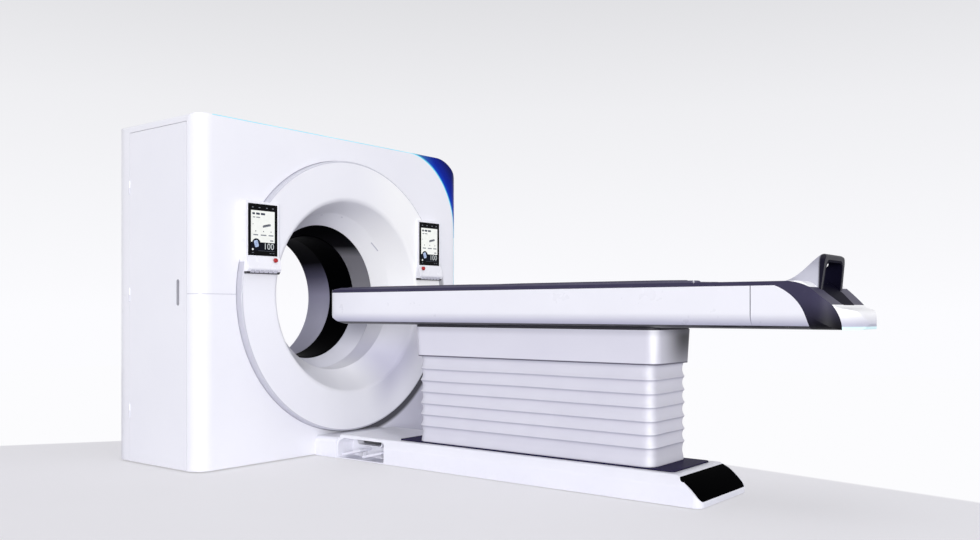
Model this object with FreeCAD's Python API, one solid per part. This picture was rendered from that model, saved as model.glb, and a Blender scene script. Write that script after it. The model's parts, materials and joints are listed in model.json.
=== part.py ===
import FreeCAD, Part
import math
import os
from FreeCAD import Vector

# A whole-body CT scanner: a ring-shaped gantry with its rotor, bearing and drive inside closed
# covers, and a patient table with a lift column, a bellows and a sliding cradle.
# Frame: +Z up, +X to the right of someone who faces the gantry, +Y into the gantry, away from
# the table. The origin is on the floor, under the centre of the bore in the scan plane.
# All sizes are in millimetres.

# ---- gantry housing -------------------------------------------------------------------------
gantry_width = 2190.0
gantry_height = 1950.0
front_depth = 470.0            # scan plane to the face of the front cover
rear_depth = 410.0             # scan plane to the back cover
floor_gap = 8.0                # covers stay this far above the floor
cover_wall = 6.0
front_edge_radius = 94.0       # vertical corners at the front
rear_edge_radius = 180.0       # vertical corners at the back
top_edge_radius = 22.0         # top corner on the left
crown_radius = 255.0           # large rounding of the top corner on the right
front_wrap = 96.0              # how far the front covers reach round the corners
close_seam = 0.6               # joint between covers that are screwed together
split_seam = 4.0               # open joint between the upper and lower front covers
side_top_margin = 42.0         # left door ends this far below the top
rear_seam_margin = 42.0        # door ends this far in front of the rear rounding
vent_x = 700.0                 # louvred panels low in the rear cover
vent_low = 150.0
vent_width = 300.0
vent_height = 260.0
vent_bar = 14.0
vent_slot = 12.0

# ---- bore -----------------------------------------------------------------------------------
iso_height = 970.0
bore_radius = 395.0
ring_radius = 841.0            # outer radius of the round front funnel
ring_stand_out = 42.0          # how far the funnel stands out of the front cover
ring_edge_radius = 10.0
ring_mouth_radius = 596.0      # where the flat front of the funnel turns inwards
ring_mouth_rounding = 30.0
ring_crease_radius = 498.0     # bend between the funnel's wall and its lip
ring_crease_depth = 130.0
ring_crease_rise = 32.0        # the bend's circle lies above the bore's axis
ring_lip_radius = 460.0
ring_lip_depth = 250.0
ring_wall = 6.0
ring_wall_slant = 1.2          # the sloping walls are thicker across, by this factor
ring_gap = 4.0                 # dark groove round the funnel
gasket_width = 34.0
gasket_thickness = 4.0
liner_depth = 370.0            # grey band ends here, behind the front cover's face
window_wall = 3.0
window_length = 228.0
flange_width = 12.0
funnel_exit_radius = 440.0     # rear opening
rear_rim_width = 34.0
rear_rim_thickness = 5.0
laser_slot_angle = 39.0        # above the horizontal, on both sides
laser_slot_length = 76.0
laser_slot_width = 9.0
laser_slot_share = 0.14        # how far down the lip it lies
lip_mark_angle = 80.0
lip_mark_length = 16.0
lip_mark_width = 6.0

# ---- accents --------------------------------------------------------------------------------
accent_side = 535.0            # the blue corner starts this far from the right side
accent_drop = 550.0            # and ends this far below the top
accent_margin = 55.0           # its width at its lower end
light_width = 4.0
light_depth = 3.0
light_proud = 0.6

# ---- frame, bearing and rotor ---------------------------------------------------------------
rail_inner_x = 780.0
rail_width = 80.0
rail_height = 80.0
pad_thickness = 25.0
pad_reach = 120.0              # pad's reach outside the rail
anchor_x = 920.0
anchor_y = 320.0
anchor_hole_radius = 9.0
cross_beam_width = 80.0
bracket_x = 300.0              # brackets that carry the covers
bracket_width = 40.0
gusset_x = 560.0
gusset_height = 420.0
gusset_thickness = 16.0
stand_front = 205.0            # front face of the stand, behind the scan plane
stand_thickness = 30.0
stand_ring_radius = 640.0
stand_hole_radius = 474.0
stand_foot_half = 720.0
bearing_front = 150.0
bearing_split_radius = 517.0
bearing_clearance = 0.4
bearing_outer_radius = 560.0
rotor_radius = 740.0
rotor_bore_radius = 428.0
rotor_plate_thickness = 30.0
rotor_rim_wall = 12.0
rotor_rim_front = -70.0
tube_radius = 96.0
tube_orbit = 600.0
tube_length = 250.0
tube_cap_radius = 70.0
tube_cap_length = 22.0
collimator_inner = 452.0
collimator_half_width = 95.0
collimator_half_length = 70.0
detector_inner_radius = 560.0
detector_outer_radius = 640.0
detector_half_angle = 27.0
detector_half_length = 80.0
unit_inner = 470.0             # generator and cooling unit
unit_outer = 676.0
unit_half_height = 150.0
unit_front = 110.0             # in front of the scan plane
unit_rounding = 12.0
fin_count = 10
fin_pitch = 28.0
fin_first = 20.0               # lowest slot, above the unit's underside
fin_slot = 12.0
fin_depth = 14.0
fin_back = 60.0
fan_radius = 56.0
fan_hub_radius = 20.0
fan_depth = 40.0
fan_offset = 74.0              # fans above and below the unit's middle
weight_inner_radius = 610.0
weight_outer_radius = 722.0
weight_angle = 42.0            # counterweights, from the bottom on both sides
weight_half_angle = 10.0
weight_length = 143.0
slip_ring_inner = 442.0
slip_ring_outer = 464.0
slip_ring_end = 300.0
slip_track_count = 5
slip_track_depth = 3.0
brush_gap = 0.4
brush_angle = 40.0
belt_width = 46.0
belt_front = 62.0
belt_thickness = 6.0
belt_clearance = 0.7
pulley_radius = 90.0
pulley_x = 760.0
pulley_z = 255.0
motor_radius = 108.0
motor_length = 190.0
motor_shaft_radius = 19.0
motor_gap = 30.0               # from the motor's face to the belt
shaft_gap = 0.3

# ---- side doors -----------------------------------------------------------------------------
door_seam = 2.4
door_rib_depth = 14.0
door_rib_width = 24.0
hinge_radius = 5.5
hinge_pin_radius = 3.0
hinge_pin_clearance = 0.3
hinge_half_length = 40.0
hinge_notch_clearance = 0.8
hinge_low = 300.0              # lowest hinge; the middle one is level with the bore
hinge_crown_gap = 105.0        # from the right corner's rounding down to the highest hinge
hinge_leaf_length = 34.0
hinge_leaf_thickness = 3.0
hinge_bridge = 3.0             # web from the leaf to its knuckle
hinge_play = 0.4               # between the fixed knuckle and the door's
grip_back = 178.0              # recessed handle's centre, behind the front cover's face
grip_height = 978.0
grip_length = 138.0
grip_width = 20.0
grip_depth = 24.0
grip_border = 4.0

# ---- operator panels ------------------------------------------------------------------------
console_x = 705.0
console_width = 232.0
console_top = 1494.0
console_bottom = 1086.0
console_stand_out = 58.0
console_chin_top = 1184.0      # the control box starts here
console_chin_front = 82.0
console_chin_low = 1114.0
console_edge_radius = 7.0
screen_width = 205.0
screen_height = 292.0
screen_bottom = 1188.0
screen_thickness = 5.0
key_count = 6
key_pitch = 32.0
key_width = 26.0
key_height = 20.0
key_proud = 2.0
stop_offset = 77.0             # emergency button, from the panel's centre towards the bore
stop_height = 1165.0
stop_radius = 12.5
stop_cup_radius = 16.0
stop_stem_radius = 7.0
stop_stem_clearance = 0.3
stop_head_length = 12.0
stop_cup_floor = 64.0          # in front of the front cover's face
stop_head_gap = 6.0
stop_stem_length = 20.0
stop_hole_depth = 22.0

# ---- table base -----------------------------------------------------------------------------
base_half_width = 260.0
base_top_half_width = 228.0
base_height = 140.0
base_shoulder_height = 92.0
base_length = 2513.0           # from the front cover to the far end
base_end_top = 2384.0
base_end_lip = 26.0
base_end_bulge = 12.0          # the sloping end is slightly convex
base_end_bend = 380.0
end_panel_corner = 22.0
end_panel_rim = 14.0
end_panel_thickness = 4.0
base_wall = 5.0
base_floor_gap = 4.0
deck_start = 630.0
deck_margin = 34.0
deck_thickness = 6.0
bridge_length = 186.0          # block at the gantry's foot
bridge_half_width = 267.0
bridge_height = 122.0
bridge_gap = 6.0               # the round front above the block stays this far off it
pocket_start = 192.0           # foot pocket, measured from the front cover
pocket_end = 570.0
pocket_inner = 138.0
pocket_top = 122.0
pocket_floor = 9.0
pocket_corner = 38.0
guard_start = 275.0
guard_end = 484.0
guard_depth = 46.0
guard_bottom = 80.0
pedal_starts = (226.0, 396.0)
pedal_length = 150.0
pedal_reach = 256.0
pedal_thick = 14.0
pedal_low = 34.0
pedal_high = 70.0
pedal_pin_radius = 4.0
pedal_pin_clearance = 0.25
pedal_pin_x = 150.0
pedal_tread_gap = 13.0         # from the pin to the tread's inner edge
base_plate_half = 190.0
base_plate_start = 700.0
base_plate_end = 2330.0
base_plate_thickness = 20.0
deck_post = 24.0               # square posts that carry the deck
deck_post_x = 150.0
deck_post_places = (790.0, 2240.0)
table_anchor_x = 160.0
table_anchor_start = 740.0
table_anchor_end = 2290.0

# ---- bellows and lift -----------------------------------------------------------------------
bellows_half_width = 190.0
bellows_start = 758.0
bellows_end = 2240.0
bellows_corner = 60.0
bellows_folds = 7
bellows_fold_depth = 11.0
bellows_foot_inset = 2.0       # the lowest fold runs nearly straight down to the deck
bellows_top = 624.0
bellows_inner_half = 152.0
bellows_inner_start = 798.0
bellows_inner_end = 2200.0
bellows_inner_corner = 30.0
cover_top_half = 198.0
cover_low_half = 186.0
cover_start = 734.0
cover_end = 2262.0
cover_top = 788.0
column_centres = (1180.0, 1860.0)
column_outer_x = 210.0
column_outer_y = 270.0
column_wall = 9.0
column_step = 0.9              # running gap between the stages
outer_high = 335.0             # the outer stage stands on the base plate
middle_low = 240.0
middle_high = 565.0
inner_low = 470.0
head_plate_thickness = 12.0
head_plate_clearance = 1.6
cover_thickness = 8.0
cover_corner = 58.0
ledge_thickness = 6.0
lift_drive_radius = 52.0
lift_drive_length = 240.0

# ---- table top ------------------------------------------------------------------------------
table_bottom = 800.0
table_side_top = 985.0
table_half_width = 250.0
table_tip = 103.0              # gap between the front cover's face and the table's tip
table_under_radius = 62.0
table_tip_radius = 112.0
table_tip_lap = 1.5            # the tip's curve meets the underside at a slight angle
table_tip_corner = 46.0
table_wall = 12.0
table_seam = 2735.0            # joint between the long body and the tail
tail_length = 3170.0
tail_nose_start = 2990.0
tail_slope_start = 2956.0
tail_slope_end = 3080.0
tail_slope_height = 893.0
tail_nose_top = 876.0
band_near = 2740.0             # the dark band's two edges are quarter ellipses
band_near_reach = 239.0
band_far = 2872.0
band_far_reach = 228.0
trim_width = 34.0
trim_height = 18.0
cradle_tail = 2482.0           # the cradle's far end
tail_deck_start = 2520.0
well_half_width = 211.0
deck_level = 926.0
deck_plate_thickness = 8.0
slide_rail_x = 130.0
slide_rail_width = 24.0
slide_rail_height = 10.0
slide_clearance = 0.3
cradle_half_width = 232.0
cradle_rim = 10.0
cradle_trough_half = 204.0
cradle_trough_drop = 58.0
cradle_wall = 10.0
cradle_tip_bevel = 90.0
cradle_tip_drop = 10.0
runner_width = 20.0
pad_edge_half = 190.0
pad_thick = 30.0
pad_end_gap = 60.0

# ---- tail handle ----------------------------------------------------------------------------
handle_half_width = 146.0
handle_leg = 30.0
handle_lining = 10.0
handle_foot = 2826.0
handle_mid = 2922.0
handle_mid_height = 1051.0
handle_top_front = 2988.0
handle_top_back = 3014.0
handle_back_lean = 20.0        # the legs' rear edge comes forward towards its foot
handle_top = 1114.0
handle_outer_rounding = 46.0
handle_inner_rounding = 30.0
handle_bar = 30.0
tongue_top_half = 112.0
tongue_end_half = 78.0
tongue_start = 2938.0
tongue_end = 3070.0
tongue_sink = 4.0

# ---- cutting shapes -------------------------------------------------------------------------
far_side = 400.0               # beyond the table's sides
far_up = 2000.0                # above everything

# worked out from the sizes above
front = -front_depth
table_level = table_side_top + trim_height
half_w = gantry_width / 2
door_front = front + front_wrap + door_seam
door_back = rear_depth - rear_edge_radius - rear_seam_margin
hinge_y = door_back + door_seam / 2
accent_start_x = half_w - accent_side
accent_start_z = gantry_height - accent_drop
accent_inner_x = accent_side - accent_margin
accent_inner_z = accent_drop
accent_edge_x = accent_start_x + accent_inner_x
hinge_heights = (hinge_low, iso_height, gantry_height - crown_radius - hinge_crown_gap)


# ---- small helpers --------------------------------------------------------------------------
PLANES = {
    "xy": lambda u, v: Vector(u, v, 0),
    "xz": lambda u, v: Vector(u, 0, v),
    "yz": lambda u, v: Vector(0, u, v),
}


def box(x0, y0, z0, x1, y1, z1):
    corner = Vector(min(x0, x1), min(y0, y1), min(z0, z1))
    return Part.makeBox(abs(x1 - x0), abs(y1 - y0), abs(z1 - z0), corner)


def cylinder_y(radius, y0, y1, x=0.0, z=iso_height):
    return Part.makeCylinder(radius, y1 - y0, Vector(x, y0, z), Vector(0, 1, 0))


def cylinder_x(radius, x0, x1, y, z):
    return Part.makeCylinder(radius, x1 - x0, Vector(x0, y, z), Vector(1, 0, 0))


def cylinder_z(radius, x, y, z0, z1):
    return Part.makeCylinder(radius, z1 - z0, Vector(x, y, z0))


def tube_y(outer, inner, y0, y1, x=0.0, z=iso_height):
    return cylinder_y(outer, y0, y1, x, z).cut(cylinder_y(inner, y0 - 1, y1 + 1, x, z))


def join(*shapes):
    """One shape from several that touch, with the seams between them taken out."""
    first, rest = shapes[0], list(shapes[1:])
    return first.fuse(rest).removeSplitter() if rest else first


def group(*shapes):
    """Separate solids that share one node."""
    return Part.makeCompound([solid for shape in shapes for solid in shape.Solids])


def corner_arc(before, corner, after, radius):
    """Start, middle and end of the arc that rounds a corner; all points are (u, v)."""
    ax, ay = before[0] - corner[0], before[1] - corner[1]
    bx, by = after[0] - corner[0], after[1] - corner[1]
    la, lb = math.hypot(ax, ay), math.hypot(bx, by)
    ax, ay, bx, by = ax / la, ay / la, bx / lb, by / lb
    half = math.acos(max(-1.0, min(1.0, ax * bx + ay * by))) / 2
    run = radius / math.tan(half)
    mx, my = ax + bx, ay + by
    ml = math.hypot(mx, my)
    reach = radius / math.sin(half) - radius
    start = (corner[0] + ax * run, corner[1] + ay * run)
    middle = (corner[0] + mx / ml * reach, corner[1] + my / ml * reach)
    end = (corner[0] + bx * run, corner[1] + by * run)
    return start, middle, end


def rounded_face(plane, corners):
    """Flat face through corners (u, v, radius); a radius of 0 leaves the corner sharp."""
    place = PLANES[plane]
    count = len(corners)
    turns = []
    for i, (u, v, radius) in enumerate(corners):
        before, after = corners[i - 1], corners[(i + 1) % count]
        if radius > 0:
            turns.append(corner_arc(before, (u, v), after, radius))
        else:
            turns.append(((u, v), None, (u, v)))
    edges = []
    for i, (start, middle, end) in enumerate(turns):
        if middle is not None:
            edges.append(Part.Arc(place(*start), place(*middle), place(*end)).toShape())
        follow = turns[(i + 1) % count][0]
        if math.hypot(follow[0] - end[0], follow[1] - end[1]) > 1e-6:
            edges.append(Part.makeLine(place(*end), place(*follow)))
    return Part.Face(Part.Wire(edges))


def along_y(face, y0, y1):
    shape = face.copy()
    shape.translate(Vector(0, y0, 0))
    return shape.extrude(Vector(0, y1 - y0, 0))


def along_x(face, x0, x1):
    shape = face.copy()
    shape.translate(Vector(x0, 0, 0))
    return shape.extrude(Vector(x1 - x0, 0, 0))


def along_z(face, z0, z1):
    shape = face.copy()
    shape.translate(Vector(0, 0, z0))
    return shape.extrude(Vector(0, 0, z1 - z0))


def turned(corners, start_angle=0.0, sweep=360.0):
    """Solid of revolution about the bore's axis, from corners (radius, y, rounding)."""
    face = rounded_face("xy", corners)
    face.translate(Vector(0, 0, iso_height))
    centre = Vector(0, 0, iso_height)
    if start_angle:
        face.rotate(centre, Vector(0, 1, 0), -start_angle)
    return face.revolve(centre, Vector(0, 1, 0), -sweep)


def ring_sector(outer, inner, y0, y1, middle_angle, half_angle):
    """Piece of a ring; angles are from +X towards the top."""
    corners = [(inner, y0, 0), (outer, y0, 0), (outer, y1, 0), (inner, y1, 0)]
    return turned(corners, middle_angle - half_angle, 2 * half_angle)


def rounded_box(x0, y0, z0, x1, y1, z1, radius):
    """Box with rounded upright edges."""
    corners = [(x0, y0, radius), (x1, y0, radius), (x1, y1, radius), (x0, y1, radius)]
    return along_z(rounded_face("xy", corners), z0, z1)


def rounded_wire(x0, y0, x1, y1, radius, z):
    corners = [(x0, y0, radius), (x1, y0, radius), (x1, y1, radius), (x0, y1, radius)]
    wire = rounded_face("xy", corners).OuterWire
    wire.translate(Vector(0, 0, z))
    return wire


# ---- gantry covers --------------------------------------------------------------------------
def envelope(inset, bottom):
    """The gantry's outer form, or its inside where inset is the cover's wall."""
    half = half_w - inset
    top = gantry_height - inset
    outline = [
        (-half, bottom, 0),
        (half, bottom, 0),
        (half, top, crown_radius - inset),
        (-half, top, max(top_edge_radius - inset, 1.0)),
    ]
    front_r = front_edge_radius - inset
    rear_r = rear_edge_radius - inset
    plan = [
        (-half, front + inset, front_r),
        (half, front + inset, front_r),
        (half, rear_depth - inset, rear_r),
        (-half, rear_depth - inset, rear_r),
    ]
    seen_from_front = along_y(rounded_face("xz", outline), front + inset, rear_depth - inset)
    seen_from_above = along_z(rounded_face("xy", plan), bottom, top)
    return seen_from_front.common(seen_from_above)


def right_seam_height():
    return gantry_height - crown_radius - top_edge_radius / 4


def left_seam_height():
    return gantry_height - side_top_margin


def accent_region(grow):
    """Everything outside the blue corner's inner curve; grow moves the curve outwards."""
    ellipse_x, ellipse_z = accent_inner_x + grow, accent_inner_z + grow
    centre = Vector(accent_start_x, 0, accent_start_z)
    if ellipse_z >= ellipse_x:
        curve = Part.Ellipse(centre + Vector(0, 0, ellipse_z), centre + Vector(ellipse_x, 0, 0), centre)
    else:
        curve = Part.Ellipse(centre + Vector(ellipse_x, 0, 0), centre + Vector(0, 0, ellipse_z), centre)
    disc = Part.Face(Part.Wire(curve.toShape()))
    disc.translate(Vector(0, front - 10, 0))
    oval = disc.extrude(Vector(0, front_wrap + 10 - close_seam, 0))
    corner = box(accent_start_x, front - 5, accent_start_z, half_w + 5, front + front_wrap - close_seam,
                 gantry_height + 5)
    return corner.cut(oval)


def light_path(inset):
    """Region under the light strip's line: the top edge, the corner's curve and the right edge."""
    y0, y1 = front - 5, front + front_wrap / 2
    left = -half_w + front_edge_radius
    top_part = box(left, y0, iso_height, accent_start_x, y1, gantry_height - inset)
    side_part = box(left, y0, iso_height, accent_edge_x - inset, y1, accent_start_z)
    centre = Vector(accent_start_x, y0, accent_start_z)
    rx, rz = accent_inner_x - inset, accent_inner_z - inset
    curve = Part.Ellipse(centre + Vector(0, 0, rz), centre + Vector(rx, 0, 0), centre)
    oval = Part.Face(Part.Wire(curve.toShape())).extrude(Vector(0, y1 - y0, 0))
    return top_part.fuse([side_part, oval])


def light_strip():
    left = -half_w + front_edge_radius
    line = light_path(0).cut(light_path(light_width))
    line = line.common(box(left + 1, front - 5, iso_height + split_seam, half_w, front + front_wrap / 2,
                           gantry_height))
    skin = envelope(-light_proud, -20).cut(envelope(light_depth, -20))
    return line.common(skin)


def horizontal_split(gap):
    return box(-half_w - 5, front - 5, iso_height - gap / 2, half_w + 5, front + front_wrap,
               iso_height + gap / 2)


def funnel_void(wall):
    """Space inside the funnel, or inside its hidden side where wall is its thickness."""
    reach = wall * ring_wall_slant
    steps = [
        (ring_mouth_radius + reach, 0.0, -ring_stand_out),
        (ring_crease_radius + reach, ring_crease_rise, ring_crease_depth),
        (ring_lip_radius + wall, 0.0, ring_lip_depth),
        (ring_lip_radius + wall, 0.0, ring_lip_depth + 3 * ring_wall),
    ]
    wires = []
    for radius, rise, depth in steps:
        centre = Vector(0, front + depth, iso_height + rise)
        wires.append(Part.Wire(Part.makeCircle(radius, centre, Vector(0, 1, 0))))
    return Part.makeLoft(wires, True, True)


def rounded_mouth(block, y, outer_radius, outer_rounding, mouth_radius, mouth_rounding):
    """Rounds the two circular edges of a ring block's front."""
    for radius, rounding in ((outer_radius, outer_rounding), (mouth_radius, mouth_rounding)):
        edges = [edge for edge in block.Edges
                 if edge.BoundBox.YLength < 0.01 and abs(edge.BoundBox.YMin - y) < 0.01
                 and abs(edge.BoundBox.XLength / 2 - radius) < 3]
        block = block.makeFillet(rounding, edges)
    return block


def funnel_shell():
    """The round front: a flat ring that stands out of the cover, and the funnel into the bore."""
    wall = ring_wall
    face, end = front - ring_stand_out, front + ring_lip_depth + wall
    block = cylinder_y(ring_radius, face, end).cut(funnel_void(0))
    block = rounded_mouth(block, face, ring_radius, ring_edge_radius, ring_mouth_radius, ring_mouth_rounding)
    core = cylinder_y(ring_radius - wall, face + wall, end + 1).cut(funnel_void(wall))
    back_mouth = max(edge.BoundBox.XLength for edge in core.Edges
                     if abs(edge.BoundBox.YMax - face - wall) < 0.01
                     and edge.BoundBox.XLength < 2 * ring_radius - 4 * wall) / 2
    core = rounded_mouth(core, face + wall, ring_radius - wall, ring_edge_radius - wall, back_mouth,
                         ring_mouth_rounding - wall)
    behind = tube_y(ring_radius + 20, ring_mouth_radius + 12, front + cover_wall, end + 5)
    return block.cut([core, behind])


def lip_slot(angle, length, width):
    """Block that cuts a slot window out of the funnel's lip, at an angle above the horizontal."""
    turn = math.radians(angle)
    out = Vector(math.cos(turn), 0, math.sin(turn))
    crease = Vector(0, front + ring_crease_depth, iso_height + ring_crease_rise) + out * ring_crease_radius
    lip = Vector(0, front + ring_lip_depth, iso_height) + out * ring_lip_radius
    middle = crease + (lip - crease) * laser_slot_share
    inward = (lip - crease).normalize()
    around = inward.cross(out).normalize()
    depth = 4 * ring_wall
    block = Part.makeBox(length, width, depth, Vector(-length / 2, -width / 2, -depth / 2))
    block.Placement = FreeCAD.Placement(middle, FreeCAD.Rotation(around, inward, around.cross(inward), "XYZ"))
    return block


def gantry_covers(parts):
    shell = envelope(0, floor_gap).cut(envelope(cover_wall, -20))
    front_zone = box(-half_w - 5, front - 5, -5, half_w + 5, front + front_wrap - close_seam,
                     gantry_height + 5)
    ring_hole = cylinder_y(ring_radius + ring_gap, front - 5, front + cover_wall + 1)
    strip = light_strip()
    front_shell = shell.common(front_zone).cut(ring_hole)
    plain = front_shell.cut([accent_region(-close_seam), strip])
    seam = horizontal_split(split_seam)
    above = box(-half_w - 5, front - 5, iso_height, half_w + 5, rear_depth + 5, gantry_height + 5)
    parts["front_cover_upper"] = plain.cut(seam).common(above)
    parts["front_cover_lower"] = plain.cut(seam).cut(above)
    parts["corner_accent"] = front_shell.common(accent_region(0)).cut(strip)
    parts["light_strip"] = strip
    strip_back = envelope(3.0, -20).cut(envelope(cover_wall + 4, -20))
    hole = cylinder_y(ring_radius + ring_gap + 1, front - 5, front + cover_wall + 5)
    seam_band = horizontal_split(split_seam).common(strip_back).cut(hole)

    # round funnel, its gasket, the grey liner, the black window and the rear funnel
    funnel = funnel_shell()
    slots = []
    for angle in (laser_slot_angle, 180 - laser_slot_angle):
        slots.append(lip_slot(angle, laser_slot_length, laser_slot_width))
    for angle in (lip_mark_angle, 180 - lip_mark_angle):
        slots.append(lip_slot(angle, lip_mark_length, lip_mark_width))
    parts["ring_cover"] = funnel.cut(slots)
    parts["laser_windows"] = group(*[funnel.common(slot) for slot in slots])
    back = front + cover_wall
    gasket = tube_y(ring_radius + gasket_width / 2, ring_radius - gasket_width / 2, back,
                    back + gasket_thickness)
    parts["cover_seals"] = group(gasket, seam_band)
    lip_end = front + ring_lip_depth + ring_wall
    liner_end = front + liner_depth + ring_wall
    wall = ring_wall - 1
    exit_r = bore_radius + flange_width - wall
    parts["bore_liner"] = turned([
        (ring_lip_radius, lip_end, 0),
        (ring_lip_radius, lip_end + wall, 0),
        (exit_r, liner_end - wall, 0),
        (exit_r, liner_end, 0),
        (exit_r + wall, liner_end, 0),
        (exit_r + wall, liner_end - wall / 2, 0),
        (ring_lip_radius + wall, lip_end + wall * 1.4, 0),
        (ring_lip_radius + wall, lip_end, 0),
    ])
    window_end = liner_end + window_length
    flange = bore_radius + flange_width
    parts["scan_window"] = join(
        tube_y(bore_radius + window_wall, bore_radius, liner_end, window_end),
        tube_y(flange, bore_radius, liner_end, liner_end + window_wall),
        tube_y(flange, bore_radius, window_end - window_wall, window_end))
    rim = funnel_exit_radius + rear_rim_width
    parts["rear_funnel"] = turned([
        (exit_r, window_end, 0),
        (exit_r, window_end + wall, 0),
        (funnel_exit_radius, rear_depth - 6, 14),
        (funnel_exit_radius + 4, rear_depth + rear_rim_thickness, 4),
        (rim, rear_depth + rear_rim_thickness, 4),
        (rim, rear_depth, 0),
        (funnel_exit_radius + wall + 4, rear_depth, 0),
        (funnel_exit_radius + wall, rear_depth - 8, 0),
        (exit_r + wall, window_end + wall * 1.4, 0),
        (exit_r + wall, window_end, 0),
    ])

    # top and rear covers
    seam_y = front + front_wrap
    rear_y = door_back + door_seam
    top_zone = join(
        box(-half_w - 5, seam_y, left_seam_height(), 0, rear_y - close_seam, gantry_height + 5),
        box(0, seam_y, right_seam_height(), half_w + 5, rear_y - close_seam, gantry_height + 5))
    parts["top_cover"] = shell.common(top_zone)
    rear_zone = box(-half_w - 5, rear_y, -5, half_w + 5, rear_depth + 5, gantry_height + 5)
    rear_hole = cylinder_y(funnel_exit_radius + wall + 6, rear_y, rear_depth + 5)
    vents, vent_holes = vent_grilles()
    notches = [hinge_notch(side, height) for side in (-1, 1) for height in hinge_heights]
    rear_shell = shell.common(rear_zone).cut([rear_hole] + vent_holes + notches)
    split = box(-half_w - 5, rear_y - 5, iso_height - close_seam / 2, half_w + 5, rear_depth + 5,
                iso_height + close_seam / 2)
    parts["rear_cover_upper"] = rear_shell.cut(split).common(above)
    parts["rear_cover_lower"] = rear_shell.cut(split).cut(above)
    parts["vent_grilles"] = vents


def vent_grilles():
    """Two louvred panels low in the rear cover, and the holes that they fill."""
    panels, holes = [], []
    width, height, bar, slot, low = vent_width, vent_height, vent_bar, vent_slot, vent_low
    y0, y1 = rear_depth - cover_wall, rear_depth
    for side in (-1, 1):
        x0 = side * vent_x - width / 2
        panel = box(x0, y0, low, x0 + width, y1, low + height)
        rows = int((height - 2 * bar) // (bar + slot))
        first = low + (height - rows * (bar + slot) + bar) / 2
        slots = [box(x0 + bar, y0 - 1, first + row * (bar + slot), x0 + width - bar, y1 + 1,
                     first + row * (bar + slot) + slot) for row in range(rows)]
        panels.append(panel.cut(slots))
        holes.append(box(x0, y0 - 1, low, x0 + width, y1 + 1, low + height))
    return group(*panels), holes


# ---- side doors, their hinges and grips -----------------------------------------------------
def hinge_notch(side, height):
    return cylinder_z(hinge_radius + hinge_notch_clearance, side * half_w, hinge_y,
                      height - hinge_half_length - 1, height + hinge_half_length + 1)


def door_hinges():
    """Fixed halves of the hinges: leaf, lower knuckle and pin, inside the rear cover's edge."""
    pieces = []
    for side in (-1, 1):
        inner = side * (half_w - cover_wall)
        for height in hinge_heights:
            low, high = height - hinge_half_length, height + hinge_half_length
            x = side * half_w
            knuckle = cylinder_z(hinge_radius, x, hinge_y, low, height - hinge_play)
            pin = cylinder_z(hinge_pin_radius, x, hinge_y, low, high)
            leaf = box(inner - side * hinge_leaf_thickness, hinge_y, low, inner,
                       hinge_y + hinge_leaf_length, high)
            bridge = box(inner - side * hinge_leaf_thickness, hinge_y - hinge_bridge / 2, low, x - side * 2,
                         hinge_y + hinge_bridge / 2, height - hinge_play)
            pieces.append(join(knuckle, pin, leaf, bridge))
    return group(*pieces)


def side_door(side):
    top = left_seam_height() if side < 0 else right_seam_height()
    outer, inner = side * half_w, side * (half_w - cover_wall)
    skin = box(inner, door_front, floor_gap, outer, door_back, top - door_seam)
    rib_x = inner - side * door_rib_depth
    low, high = floor_gap + 40, top - 60
    ribs = [box(rib_x, y - door_rib_width / 2, low, inner, y + door_rib_width / 2, high)
            for y in (door_front + 40, (door_front + door_back) / 2, door_back - 40)]
    cross = [box(rib_x, door_front + 40, z - door_rib_width / 2, inner, door_back - 40,
                 z + door_rib_width / 2) for z in (low + door_rib_width / 2, high - door_rib_width / 2)]
    door = join(skin, *ribs, *cross)
    notches = [hinge_notch(side, height) for height in hinge_heights]
    door = door.cut(notches)
    for height in hinge_heights:
        high_end = height + hinge_half_length
        knuckle = cylinder_z(hinge_radius, outer, hinge_y, height, high_end)
        web = box(outer - side * cover_wall, hinge_y - hinge_radius - 3, height, outer, hinge_y, high_end)
        hole = cylinder_z(hinge_pin_radius + hinge_pin_clearance, outer, hinge_y, height - 1, high_end + 1)
        door = join(door, knuckle, web).cut(hole)
    return door.cut(grip_slot(side, grip_border, cover_wall + door_rib_depth + 5))


def grip_slot(side, border, depth):
    """Rounded upright slot whose mouth is the door's outer face."""
    half = grip_width / 2 + border
    y = front + grip_back
    z0 = grip_height - grip_length / 2 - border
    z1 = grip_height + grip_length / 2 + border
    corner = half * 0.98
    slot = [(y - half, z0, corner), (y + half, z0, corner), (y + half, z1, corner), (y - half, z1, corner)]
    outer = side * half_w
    return along_x(rounded_face("yz", slot), outer, outer - side * depth)


def door_grip(side):
    """Recessed handle: a cup let into the door."""
    return grip_slot(side, grip_border, grip_depth + 3).cut(grip_slot(side, 0, grip_depth))


# ---- operator panels ------------------------------------------------------------------------
def stop_place(side):
    return side * (console_x - stop_offset)


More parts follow.
